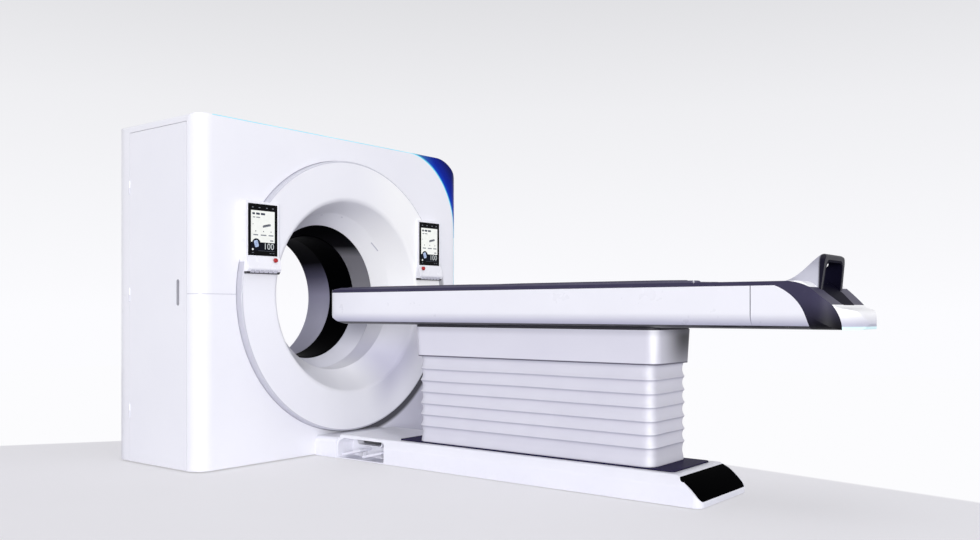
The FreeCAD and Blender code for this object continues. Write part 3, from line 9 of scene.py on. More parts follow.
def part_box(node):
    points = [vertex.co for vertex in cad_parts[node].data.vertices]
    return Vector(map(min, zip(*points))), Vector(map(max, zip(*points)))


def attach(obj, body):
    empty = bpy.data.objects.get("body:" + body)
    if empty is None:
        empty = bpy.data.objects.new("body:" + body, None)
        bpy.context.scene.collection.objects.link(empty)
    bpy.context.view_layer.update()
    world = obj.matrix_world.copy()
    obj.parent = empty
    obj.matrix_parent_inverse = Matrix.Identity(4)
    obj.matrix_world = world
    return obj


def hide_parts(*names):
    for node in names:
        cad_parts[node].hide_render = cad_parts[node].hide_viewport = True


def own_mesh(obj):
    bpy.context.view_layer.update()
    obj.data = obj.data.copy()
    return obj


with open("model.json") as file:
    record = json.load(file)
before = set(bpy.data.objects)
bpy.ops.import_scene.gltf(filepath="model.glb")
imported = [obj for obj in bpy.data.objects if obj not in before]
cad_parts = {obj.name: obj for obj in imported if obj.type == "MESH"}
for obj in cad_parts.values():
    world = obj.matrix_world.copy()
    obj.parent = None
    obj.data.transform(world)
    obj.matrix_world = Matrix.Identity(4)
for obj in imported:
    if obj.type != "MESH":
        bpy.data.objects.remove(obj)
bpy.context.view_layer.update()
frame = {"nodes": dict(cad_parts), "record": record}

# ---- places and sizes, in metres -------------------------------------------------------------
RING_LOW, RING_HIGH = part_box("ring_cover")
BORE_HEIGHT = (RING_LOW.z + RING_HIGH.z) / 2    # the scanner's axis above the floor
RIM_RADIUS = RING_HIGH.x
TABLE_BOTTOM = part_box("table_frame")[0].z
TABLE_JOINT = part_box("table_frame")[0].y        # where the long body ends and the tail begins
HANDLE_EDGE = -3.462                            # the hoop is dark behind this line
DECK_LEVEL = 0.141                              # the base's flat plate begins here
PANEL_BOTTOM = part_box("console_housings")[0].z
PANEL_SHADE_LIP = (0.0115, 0.013)                     # height of the painted shade along the panels' lower lip, black below, soft between the two
GLASS_WIDTH = 0.205                             # of each display
LINER_REACH = 0.46                              # half the height over which the bore's painted light and shade change
FUNNEL_REACH = 0.47
TROUGH_RADIUS = 0.3778                          # inside of the cradle, and the height of its centre
TROUGH_CENTRE = 1.3331
CRESCENT_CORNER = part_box("corner_accent")[0]
CRESCENT_REACH = (0.480, 0.550)                 # half axes of the ellipse that bounds the blue corner

# the photograph's camera
EYE = Vector((-4.018, -4.741, 0.880))
GAZE = Vector((0.7884, 0.6151, 0.0))
LENS = 33.81
SENSOR = 36.0
HORIZON_SHIFT = 0.0412
AMBIENT = 0.47


def paint(red, green, blue):
    """Colour as a display shows it, 0 to 255, turned into the linear colour of a shader."""
    return tuple(((v / 255 + 0.055) / 1.055) ** 2.4 if v > 10 else v / 255 / 12.92
                 for v in (red, green, blue)) + (1.0,)


def dimmed(colour, share):
    """A linear colour times a share."""
    return tuple(value * share for value in colour[:3]) + (1.0,)


WHITE = paint(243, 243, 249)
WHITE_SHADE = paint(240, 240, 247)
DUST = paint(196, 194, 200)


# ---- materials -------------------------------------------------------------------------------
class Shade:
    """One output of a material's node; arithmetic on it adds the Math nodes."""

    def __init__(self, finish, socket):
        self.finish = finish
        self.socket = socket

    def math(self, operation, *others):
        """A Math node on this value and the others."""
        return self.finish.node("Math", {"operation": operation}, dict(enumerate((self,) + others)))

    def __add__(self, other):
        return self.math("ADD", other)

    def __mul__(self, other):
        return self.math("MULTIPLY", other)

    def __sub__(self, other):
        return self.math("SUBTRACT", other)

    def __rsub__(self, other):
        return self.finish.node("Math", {"operation": "SUBTRACT"}, {0: other, 1: self})

    def __truediv__(self, other):
        return self.math("DIVIDE", other)

    def __pow__(self, other):
        return self.math("POWER", other)

    def __abs__(self):
        return self.math("ABSOLUTE")

    def __gt__(self, other):
        return self.math("GREATER_THAN", other)

    def between(self, low, high):
        """0 below low, 1 above high, and a soft ramp in between."""
        return self.finish.node("MapRange", {"interpolation_type": "SMOOTHSTEP"},
                                {"Value": self, "From Min": low, "From Max": high})


class Finish:
    """Nodes of a material, or of the world, under construction."""

    SOCKETS = {"normal": "Normal", "specular": "Specular IOR Level", "ior": "IOR",
               "coat": "Coat Weight", "coat_roughness": "Coat Roughness",
               "glow": "Emission Color", "glow_strength": "Emission Strength",
               "sheen": "Sheen Weight", "sheen_roughness": "Sheen Roughness"}

    def __init__(self, name, kind="materials"):
        self.made = getattr(bpy.data, kind).new(name)
        self.made.use_nodes = True
        self.tree = self.made.node_tree
        self.tree.nodes.clear()

    def node(self, kind, settings=None, sockets=None, out=0):
        """Adds a node: its settings first, then numbers or links for its sockets."""
        made = self.tree.nodes.new("ShaderNode" + kind)
        for key, value in (settings or {}).items():
            setattr(made, key, value)
        for key, value in (sockets or {}).items():
            if isinstance(value, Shade):
                self.tree.links.new(value.socket, made.inputs[key])
            else:
                made.inputs[key].default_value = value
        return Shade(self, made.outputs[out]) if len(made.outputs) else None

    def ramp(self, share, stops):
        """Colour that changes along a share from 0 to 1; stops are (share, colour)."""
        made = self.node("ValToRGB", sockets={"Fac": share})
        places = made.socket.node.color_ramp.elements
        while len(places) < len(stops):
            places.new(0.5)
        for stop, (place, colour) in zip(places, stops):
            stop.position = place
            stop.color = colour
        return made

    def rays(self, *names):
        """Whether a ray is of each of these kinds, 0 or 1."""
        outputs = self.node("LightPath").socket.node.outputs
        return [Shade(self, outputs[name]) for name in names]

    def place(self):
        """Coordinates in metres, in the model's own frame."""
        return self.node("TexCoord", out=3)

    def axes(self, vector=None):
        """The three parts of a vector, or of the place."""
        parts = self.node("SeparateXYZ", sockets={0: vector or self.place()})
        return [Shade(self, socket) for socket in parts.socket.node.outputs]

    def grain(self, scale, detail=2.0, stretch=None, roughness=0.5):
        """Smooth noise of so many cells to a metre, pulled out along an axis if asked."""
        vector = self.place()
        if stretch:
            vector = self.node("Mapping", sockets={"Vector": vector, "Scale": stretch})
        return self.node("TexNoise", sockets={"Vector": vector, "Scale": scale, "Detail": detail,
                                              "Roughness": roughness})

    def mix(self, share, first, second):
        """Colour between two others; share is 0 for the first."""
        return self.node("Mix", {"data_type": "RGBA"}, {0: share, 6: first, 7: second}, out=2)

    def mottled(self, colour, shaded, cells=1.7):
        """Two near tones in large soft patches."""
        return self.mix(self.grain(cells, 3.0).between(0.3, 0.75), colour, shaded)

    def handled(self, gloss):
        """Roughness with soft smears that raise the given one by up to 0.1."""
        return self.grain(9.0, 3.0) * 0.10 + gloss

    def relief(self, height, depth, strength=1.0):
        """Bump of so many metres."""
        return self.node("Bump", sockets={"Height": height, "Distance": depth, "Strength": strength})

    def orange_peel(self, depth=0.00012, strength=0.35):
        """Fine waves of a sprayed lacquer."""
        return self.relief(self.grain(420.0, 1.0), depth, strength)

    def surface(self, colour, roughness, metal=0.0, **others):
        """The shader itself; what is the same all over is set on it as a number."""
        sockets = {"Base Color": colour, "Roughness": roughness, "Metallic": metal}
        sockets.update({self.SOCKETS[key]: value for key, value in others.items()})
        shader = self.node("BsdfPrincipled", sockets=sockets)
        self.node("OutputMaterial", sockets={"Surface": shader})
        return self.made


CLEAR_COAT = {"coat": 0.2, "coat_roughness": 0.12}


def lacquered(name, colour, shaded, gloss=0.34, coat=0.2):
    """Sprayed plastic cover: faint mottling, orange peel, a little dust low down."""
    f = Finish(name)
    dust = (1 - f.axes()[2].between(0.0, 0.12)) * f.grain(38.0, 4.0).between(0.45, 0.85) * 0.07
    tone = f.mix(dust, f.mottled(colour, shaded), DUST)
    return f.surface(tone, f.handled(gloss - 0.05), normal=f.orange_peel(), specular=0.4,
                     **dict(CLEAR_COAT, coat=coat))


def ring_lacquer():
    """Front funnel's lacquer with painted light and shade: a painted highlight at the upper right, painted
    shade where the table would shade it, and painted grey shade along the rim.
    """
    f = Finish("funnel lacquer")
    x, y, z = f.axes()
    up = z - BORE_HEIGHT
    out = (x * x + up * up) ** 0.5
    # painted highlight: the upper right is made brighter as if lit
    right_highlight = x.between(0.0, 0.45) * z.between(0.80, 1.10)
    # painted shade: dimmer below the table, as if in its shadow
    table_shadow = x.between(0.10, 0.36) * (1 - z.between(0.55, 0.84)) * (1 - out.between(0.58, 0.80) * 0.7)
    tone = f.mix(right_highlight, f.mottled(WHITE, WHITE_SHADE), paint(254, 254, 255))
    tone = f.mix(table_shadow, tone, paint(190, 189, 209))
    # painted shade: a grey band along the rim's outer edge
    tone = f.mix(out.between(RIM_RADIUS - 0.014, RIM_RADIUS - 0.009), tone, paint(196, 196, 207))
    return f.surface(tone, f.handled(0.29), normal=f.orange_peel(), **CLEAR_COAT)


def cover_lacquer():
    """Front covers' lacquer with painted shade where the table would shade it, and a painted shadow of the
    funnel's rim in a dark crescent beside it.
    """
    f = Finish("front cover lacquer")
    x, y, z = f.axes()
    # painted shadow: a circle shifted right and down from the rim, as if the rim cast it
    aside, up = x - 0.052, z - BORE_HEIGHT + 0.012
    out = (aside * aside + up * up) ** 0.5
    shaded_low_right = (x - z + BORE_HEIGHT).between(0.50, 1.00)
    crescent = (1 - out.between(RIM_RADIUS + 0.018, RIM_RADIUS + 0.046)) * shaded_low_right
    # painted shade below and right of the funnel, where the table would shade the cover
    table_shadow = x.between(0.15, 0.50) * (1 - z.between(0.50, 0.80))
    tone = f.mix(table_shadow * 0.75, f.mottled(WHITE, WHITE_SHADE), paint(176, 175, 195))
    tone = f.mix(crescent * 0.95, tone, paint(22, 20, 36))
    return f.surface(tone, f.handled(0.29), normal=f.orange_peel(), **CLEAR_COAT)


def rim_gasket():
    """Rubber round the funnel with painted light and shade: painted pale light above, a painted shadow near
    black at the lower right.
    """
    f = Finish("seal rubber")
    x, y, z = f.axes()
    # painted light and shade: pale where lit, near black where the painted shadow falls
    shaded_low_right = (x - z + BORE_HEIGHT).between(0.50, 0.85)
    tone = f.mix(shaded_low_right, paint(206, 206, 216), paint(14, 12, 26))
    tone = f.mix(f.grain(14.0, 4.0).between(0.4, 0.8) * 0.1, tone, paint(120, 120, 130))
    fine = f.grain(1300.0)
    return f.surface(tone, fine * 0.1 + 0.62, normal=f.relief(fine, 0.00015, 0.5))


def bore_lacquer(name, stops, gloss, reach):
    """Lacquer with painted light and shade by height: painted shade dark at the top, painted light pale at
    the bottom; the stops run over a reach on each side of the axis.
    """
    f = Finish(name)
    share = f.node("MapRange", sockets={"Value": f.axes()[2], "From Min": BORE_HEIGHT - reach,
                                        "From Max": BORE_HEIGHT + reach})
    tone = f.mix(f.grain(2.2, 3.0).between(0.35, 0.8) * 0.02, f.ramp(share, stops), paint(90, 90, 100))
    return f.surface(tone, f.handled(gloss - 0.05), normal=f.orange_peel(), specular=0.05, ior=1.12)


def body_tone(f, white, shaded):
    """Tone of the table's body: a thin painted shadow line across the joint and painted shade dimming the
    lower edge.
    """
    x, y, z = f.axes()
    # painted shadow in the joint between the long body and the tail
    tone = f.mix(abs(y - TABLE_JOINT).between(0.0010, 0.0028), paint(70, 69, 84), f.mottled(white, shaded))
    # painted shade towards the lower edge
    return f.mix(z.between(TABLE_BOTTOM + 0.006, TABLE_BOTTOM + 0.075), paint(180, 180, 200), tone)


def body_lacquer():
    """White table body with painted shade turning its underside dark."""
    f = Finish("table body lacquer")
    # painted shade: near black along the underside
    above = f.axes()[2].between(TABLE_BOTTOM + 0.013, TABLE_BOTTOM + 0.016)
    tone = f.mix(above, paint(8, 7, 20), body_tone(f, paint(236, 236, 243), paint(234, 234, 241)))
    return f.surface(tone, f.handled(0.24), normal=f.orange_peel(), **CLEAR_COAT)


def tip_lacquer():
    """White tip of the table, with a cyan light line along its lower edge."""
    f = Finish("tip lacquer with light line")
    mint = paint(204, 240, 242)
    line = 1 - f.axes()[2].between(TABLE_BOTTOM + 0.008, TABLE_BOTTOM + 0.016)
    # body_tone adds the painted shadow of the joint and the painted shade of the lower edge
    tone = f.mix(line, body_tone(f, paint(255, 255, 255), paint(252, 252, 255)), mint)
    return f.surface(tone, f.handled(0.24), normal=f.orange_peel(), glow=f.mix(line, paint(0, 0, 0), mint),
                     glow_strength=0.3, **CLEAR_COAT)


def moulded(name, colour, light, gloss=0.5):
    """Moulded plastic with a fine eroded grain."""
    f = Finish(name)
    fine = f.grain(900.0)
    tone = f.mix(f.grain(6.0, 3.0).between(0.3, 0.8), colour, light)
    return f.surface(tone, fine * 0.12 + gloss, normal=f.relief(fine, 0.0001, 0.6))


def rubbery(name, colour, dusty, gloss=0.62):
    """Rubber with dust in patches."""
    f = Finish(name)
    fine = f.grain(1300.0)
    tone = f.mix(f.grain(14.0, 4.0).between(0.4, 0.8), colour, dusty)
    return f.surface(tone, fine * 0.1 + gloss, normal=f.relief(fine, 0.00015, 0.5))


def brushed(name, colour, along, gloss=0.3):
    """Metal with fine lines; along is the direction in which they run."""
    f = Finish(name)
    stretch = tuple(0.02 if along == axis else 1.0 for axis in "xyz")
    lines = f.grain(900.0, 3.0, stretch)
    smudge = f.grain(7.0, 3.0)
    tone = f.mix(lines.between(0.3, 0.7), colour, dimmed(colour, 0.82))
    return f.surface(tone, lines * 0.12 + smudge * 0.1 + gloss, metal=1.0,
                     normal=f.relief(lines, 0.00004, 0.4))


def sprayed_metal(name, colour, worn, gloss=0.42):
    """Powder-coated or sprayed steel with small chips."""
    f = Finish(name)
    speck = f.grain(650.0)
    chips = (f.grain(120.0, 5.0, roughness=0.7) > 0.69)
    tone = f.mix(f.grain(5.0, 3.0).between(0.35, 0.75), colour, dimmed(colour, 0.88))
    tone = f.mix(chips * 0.5, tone, worn)
    return f.surface(tone, speck * 0.12 + gloss, normal=f.relief(speck, 0.00015, 0.4))


def glass_black(name, colour, gloss=0.16, ior=1.16):
    """Dark film or glass with faint smears."""
    f = Finish(name)
    smear = f.grain(11.0, 4.0, roughness=0.6)
    tone = f.mix(smear.between(0.3, 0.8), colour, dimmed(colour, 1.6))
    return f.surface(tone, smear * 0.1 + gloss, specular=0.5, ior=ior)


def base_black():
    """Polished black plastic with a little fine dust; the flat plate on top is dark navy."""
    f = Finish("base gloss black")
    fine = f.grain(700.0)
    tone = f.mix(f.axes()[2].between(DECK_LEVEL, DECK_LEVEL + 0.002), paint(0, 0, 1), paint(46, 41, 73))
    tone = f.mix(f.grain(26.0, 5.0, roughness=0.65).between(0.55, 0.9) * 0.3, tone, paint(7, 6, 10))
    return f.surface(tone, fine * 0.05 + 0.22, normal=f.relief(fine, 0.00003, 0.3), specular=0.1, ior=1.05)


def lit_face(name, colour):
    """Glowing part of a display, with a very fine pixel grid."""
    f = Finish(name)
    x, y, z = f.axes()
    grid = (x * 15700.0).math("SINE") * (z * 15700.0).math("SINE")
    cloud = f.grain(40.0)
    glow = f.mix(cloud.between(0.3, 0.8) * 0.06 + grid * 0.02 + 0.02, colour, paint(40, 46, 60))
    return f.surface(f.mix(cloud * 0.1, paint(12, 12, 14), paint(24, 24, 28)), cloud * 0.05 + 0.2,
                     glow=glow, glow_strength=1.0, ior=1.1)


def crescent_blue():
    """Deep blue corner with cyan edges and a greyer upper tip, following its quarter ellipse."""
    f = Finish("crescent deep blue gloss")
    x, y, z = f.axes()
    across = (x - CRESCENT_CORNER.x) / CRESCENT_REACH[0]
    up = (z - CRESCENT_CORNER.z) / CRESCENT_REACH[1]
    out = (across * across + up * up) ** 0.5
    tone = f.mix(out.between(1.0, 1.10), paint(0, 62, 196), paint(0, 30, 150))
    tone = f.mix(out.between(1.08, 1.26), tone, paint(2, 14, 96))
    tip = (1 - x.between(0.62, 0.84)) * 0.7
    tone = f.mix(tip, tone, paint(74, 128, 150))
    tail = (1 - z.between(1.38, 1.56)) * 0.55
    tone = f.mix(tail, tone, paint(30, 116, 214))
    tone = f.mix(out.between(1.004, 1.02), paint(96, 200, 224), tone)
    fleck = f.grain(300.0)
    return f.surface(tone, fleck * 0.06 + 0.24, normal=f.relief(fleck, 0.00005, 0.3), specular=0.4, ior=1.2)


def light_guide():
    """Cyan light line, a little uneven along its run."""
    f = Finish("cyan light guide")
    wave = f.grain(3.0, 1.0)
    tone = f.mix(wave.between(0.3, 0.7), paint(128, 208, 228), paint(168, 226, 238))
    return f.surface(tone, wave * 0.05 + 0.3, glow=tone, glow_strength=0.28)


def band_colour():
    """Dark violet-grey trim that turns black towards the bottom of the band."""
    f = Finish("trim violet grey")
    tone = f.mix(f.axes()[2].between(0.80, 0.94), paint(4, 3, 9), paint(60, 57, 80))
    tone = f.mix(f.grain(9.0, 3.0).between(0.45, 0.9) * 0.25, tone, paint(88, 84, 108))
    fine = f.grain(900.0)
    return f.surface(tone, fine * 0.1 + 0.34, normal=f.relief(fine, 0.00008, 0.5), ior=1.2)


def woven_vinyl(name, colour, light):
    """Coated cloth: a fine basket weave pressed into the vinyl, softly worn."""
    f = Finish(name)
    x, y, z = f.axes()
    weave = (x * 3600.0).math("SINE") * (y * 3600.0).math("SINE")
    worn = f.grain(5.0, 4.0).between(0.35, 0.8)
    return f.surface(f.mix(worn, colour, light), weave * 0.04 + worn * 0.08 + 0.42,
                     normal=f.relief(weave + f.grain(60.0, 3.0) * 2.0, 0.0003, 0.4),
                     sheen=0.15, sheen_roughness=0.5)


def corner_highlight(f, low):
    """Painted highlight: 1 on the rounded upright corner next to the camera, soft to either side."""
    x, y, z = f.axes()
    return (1 - x.between(low.x + 0.018, low.x + 0.050)) * (1 - y.between(low.y + 0.018, low.y + 0.050))


def bellows_cloth():
    """Coated cloth with a painted highlight on the near corner and painted shade just under each ridge, where
    the folds' attribute is 1.
    """
    f = Finish("bellows cloth")
    under = f.node("Attribute", {"attribute_name": "ridge_shade"}, out=2)
    fine = f.grain(1300.0)
    tone = f.mix(f.grain(3.0).between(0.3, 0.8), paint(215, 214, 225), paint(210, 209, 221))
    # painted highlight on the near corner
    tone = f.mix(corner_highlight(f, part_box("bellows")[0]), tone, paint(242, 242, 249))
    # painted shade under each ridge
    tone = f.mix(under.between(0.1, 1.0) * 0.6, tone, paint(140, 139, 160))
    return f.surface(tone, fine * 0.1 + 0.46, normal=f.relief(fine, 0.0001, 0.4),
                     sheen=0.1, sheen_roughness=0.5)


def column_lacquer():
    """Lacquer of the cover under the table with painted light and shade: dimmer all over and along its top as
    painted shade, darker along its lower edge, a darker painted shadow on its far end, and a painted
    highlight on its near corner.
    """
    f = Finish("column lacquer")
    low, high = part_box("column_cover")
    x, y, z = f.axes()
    # painted shade: a little dimmer than the other white covers, as under the table
    tone = f.mottled(paint(219, 218, 229), paint(214, 213, 225))
    # painted highlight on the near corner
    tone = f.mix(corner_highlight(f, low), tone, paint(248, 248, 253))
    # painted shadow of the table on the far end
    end = (1 - y.between(low.y + 0.004, low.y + 0.040)) * x.between(low.x + 0.018, high.x - 0.10)
    tone = f.mix(end * z.between(low.z - 0.16, high.z - 0.030), tone, paint(14, 12, 26))
    # painted shade along the top, under the table
    tone = f.mix(z.between(high.z - 0.040, high.z - 0.005) * 0.25, tone, paint(120, 119, 140))
    # painted shade along the lower edge, against the bellows
    tone = f.mix(z.between(low.z + 0.004, low.z + 0.008), paint(84, 82, 98), tone)
    return f.surface(tone, f.handled(0.32), normal=f.orange_peel(0.0001, 0.3), specular=0.5)


def handle_silver():
    """Silver hoop whose far rim and inner faces are dark navy."""
    f = Finish("handle silver")
    x, y, z = f.axes()
    tone = f.mottled(paint(192, 192, 204), paint(184, 184, 197), 3.0)
    tone = f.mix(z.between(1.030, 1.110) * 0.6, tone, paint(132, 131, 146))
    tone = f.mix(y.between(HANDLE_EDGE, HANDLE_EDGE + 0.010), paint(18, 16, 32), tone)
    return f.surface(tone, f.handled(0.3), normal=f.orange_peel(0.0001, 0.3), ior=1.2)


def panel_lacquer():
    """White control panel whose lower lip is painted black as shade."""
    f = Finish("control panel lacquer")
    # painted shade: black along the lower lip
    above = f.axes()[2].between(PANEL_BOTTOM + PANEL_SHADE_LIP[0], PANEL_BOTTOM + PANEL_SHADE_LIP[1])
    tone = f.mix(above, paint(14, 13, 18), f.mottled(WHITE, paint(237, 237, 245), 2.0))
    return f.surface(tone, f.handled(0.22), normal=f.orange_peel(0.0001, 0.3), coat=0.3, coat_roughness=0.1)


finishes = {
    "cover_white": lacquered("cover lacquer", WHITE, WHITE_SHADE),
    "table_white": lacquered("column and foot lacquer", paint(240, 240, 248), paint(233, 233, 244)),
    "console_white": panel_lacquer(),
    "accent_blue": crescent_blue(),
    "light_cyan": light_guide(),
    "seal_dark": rim_gasket(),
    # painted light and shade: pale at the bottom as if lit, black at the top as if shaded
    "liner_grey": bore_lacquer("bore liner grey", [
        (0.0, paint(226, 226, 236)), (0.30, paint(196, 196, 208)), (0.50, paint(128, 127, 133)),
        (0.80, paint(113, 112, 118)), (0.87, paint(14, 13, 16)), (1.0, paint(2, 2, 3))], 0.45, LINER_REACH),
    "window_black": glass_black("scan window film", paint(1, 1, 2), 0.3, 1.03),
    "grille_grey": moulded("grille plastic", paint(178, 178, 186), paint(188, 188, 196)),
    "hinge_steel": sprayed_metal("hinge paint", paint(226, 226, 236), paint(206, 206, 214)),
    "screen_face": glass_black("display glass", paint(5, 5, 7)),
    "key_grey": moulded("key caps", paint(206, 206, 216), paint(192, 192, 204), 0.45),
    "button_red": lacquered("button red", paint(178, 16, 26), paint(160, 12, 20), 0.3, 0.15),
    "frame_paint": sprayed_metal("frame powder coat", paint(86, 90, 98), paint(120, 122, 126)),
    "bearing_steel": brushed("bearing steel", (0.58, 0.58, 0.60, 1.0), "y", 0.2),
    "rotor_paint": sprayed_metal("rotor paint", paint(168, 170, 174), paint(120, 122, 126)),
    "ring_brass": brushed("slip ring brass", (0.72, 0.54, 0.26, 1.0), "x", 0.2),
    "brush_holder": moulded("brush block plastic", paint(40, 40, 44), paint(52, 52, 56)),
    "tube_housing": sprayed_metal("tube housing paint", paint(200, 200, 204), paint(150, 150, 154)),
    "lead_shield": sprayed_metal("collimator paint", paint(96, 96, 104), paint(140, 140, 146)),
    "unit_metal": brushed("folded sheet", (0.66, 0.67, 0.69, 1.0), "z", 0.34),
    "belt_rubber": rubbery("belt rubber", paint(34, 34, 36), paint(52, 52, 54)),
    "motor_paint": sprayed_metal("motor paint", paint(64, 70, 82), paint(110, 114, 120)),
    "base_dark": base_black(),
    "bellows_rubber": bellows_cloth(),
    "trim_dark": band_colour(),
    "handle_silver": handle_silver(),
    "inlay_dark": glass_black("inlay navy black", paint(13, 12, 26), 0.45, 1.06),
    "cradle_shell": lacquered("cradle laminate", paint(84, 81, 104), paint(76, 73, 96), 0.32, 0.2),
    "pad_vinyl": woven_vinyl("mattress vinyl", paint(58, 56, 76), paint(72, 70, 90)),
    "pedal_white": moulded("pedal plastic", paint(232, 232, 242), paint(222, 222, 234), 0.42),
    "deck_metal": brushed("deck aluminium", (0.70, 0.71, 0.73, 1.0), "y", 0.3),
    "lift_steel": brushed("column steel", (0.60, 0.61, 0.63, 1.0), "z", 0.3),
}

# nodes that look different from the rest of their slot, each with painted shade, some with painted light too
front_white = cover_lacquer()
body_white = body_lacquer()
own_finishes = {
    "front_cover_upper": front_white,
    "front_cover_lower": front_white,
    "ring_cover": ring_lacquer(),
    # painted light and shade: paler at the bottom as if lit, black at the top as if shaded
    "rear_funnel": bore_lacquer("rear funnel lavender grey", [
        (0.0, paint(190, 189, 206)), (0.35, paint(178, 177, 196)), (0.52, paint(156, 154, 176)),
        (0.66, paint(86, 84, 104)), (0.76, paint(6, 5, 10)), (1.0, paint(2, 2, 4))], 0.4, FUNNEL_REACH),
    "column_cover": column_lacquer(),
    # painted shade: the steel head plate is coloured near black where the table shades it
    "lift_column_inner": sprayed_metal("head plate dark as painted shade", paint(30, 28, 40), paint(70, 70, 78), 0.5),
    "table_frame": body_white,
    "tail_cover": body_white,
    "tail_nose": tip_lacquer(),
}

for part in frame["record"]["subparts"]:
    slots = frame["nodes"][part["node"]].data.materials
    slots.clear()
    slots.append(own_finishes.get(part["node"], finishes[part["material_slot"]]))


# ---- making pieces ---------------------------------------------------------------------------
def link(name, data):
    """Puts new data into the scene as an object at the origin."""
    made = bpy.data.objects.new(name, data)
    bpy.context.scene.collection.objects.link(made)
    return made


def piece(name, bm, body, materials, smooth=True):
    """Turns a bmesh into an object that rides on a body and takes its finish from a slot."""
    bmesh.ops.recalc_face_normals(bm, faces=bm.faces)
    mesh = bpy.data.meshes.new(name)
    for face in bm.faces:
        face.smooth = smooth
    bm.to_mesh(mesh)
    bm.free()
    made = link(name, mesh)
    for material in materials:
        mesh.materials.append(material)
    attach(made, body)
    return made


def modifier(made, kind, **settings):
    """Adds a modifier and sets it up."""
    added = made.modifiers.new(kind.lower(), kind)
    for key, value in settings.items():
        setattr(added, key, value)
    return added


def bake_modifiers(made):
    """Puts the result of the modifiers into the mesh and takes them off."""
    graph = bpy.context.evaluated_depsgraph_get()
    shaped = bpy.data.meshes.new_from_object(made.evaluated_get(graph))
    old = made.data
    made.modifiers.clear()
    made.data = shaped
    shaped.name = old.name
    bpy.data.meshes.remove(old)


def clamp(value):
    """The value, kept from 0 to 1."""
    return max(0.0, min(1.0, value))


# ---- bellows ---------------------------------------------------------------------------------
RIDGES = (0.237, 0.299, 0.361, 0.427, 0.490, 0.555)    # heights of the ridges, from the deck up
FOLD_DEPTH = 0.0105
FOLD_CORNER = 0.060
CLOTH_THICK = 0.0025
WAVE_HEIGHT = 0.0020                                   # the cloth isn't perfectly even
WAVE_DEPTH = 0.0016


def fold_outline(bm, low, high):
    """Leaves a rounded oblong of edges, finely divided, at the bellows' lower end."""
    centre = (low + high) / 2
    bmesh.ops.create_grid(bm, x_segments=1, y_segments=1, size=0.5)
    bmesh.ops.scale(bm, vec=(high.x - low.x, high.y - low.y, 1), verts=bm.verts)
    bmesh.ops.bevel(bm, geom=bm.verts[:], offset=FOLD_CORNER, segments=7, profile=0.5, affect="VERTICES",
                    material=-1)
    bmesh.ops.translate(bm, vec=(centre.x, centre.y, low.z), verts=bm.verts)
    long_sides = [edge for edge in bm.edges if edge.calc_length() > 0.6]
    short_sides = [edge for edge in bm.edges if 0.1 < edge.calc_length() < 0.6]
    bmesh.ops.subdivide_edges(bm, edges=long_sides, cuts=27)
    bmesh.ops.subdivide_edges(bm, edges=short_sides, cuts=5)
    inner = [edge for edge in bm.edges if not edge.is_boundary]
    bmesh.ops.delete(bm, geom=bm.faces[:], context="FACES_ONLY")
    bmesh.ops.delete(bm, geom=inner, context="EDGES")
    bmesh.ops.delete(bm, geom=[vert for vert in bm.verts if not vert.link_edges], context="VERTS")


def fold_levels(low, high):
    """(height, how far drawn in, how much painted shade) from the deck up; a ridge is drawn in 0 and a hollow
    1.
    """
    levels = [(low, 0.35, 0.9), (low + 0.004, 0.38, 0.2), (low + 0.030, 0.62, 0.0)]
    ends = (low,) + RIDGES + (high,)
    for below, above in zip(ends, ends[1:]):
        tall = above - below
        if below > low:
            levels += [(below + 0.0035, 0.16, 0.0), (below + 0.010, 0.52, 0.0)]
        levels += [(below + tall * 0.45, 0.98, 0.0), (below + tall * 0.70, 0.86, 0.1)]
        if above < high:
            levels += [(above - 0.0085, 0.50, 0.45), (above - 0.0038, 0.20, 1.0),
                       (above - 0.0010, 0.02, 0.7), (above + 0.0010, 0.02, 0.1)]
    return levels + [(high - 0.006, 0.55, 0.6), (high, 0.40, 1.0)]


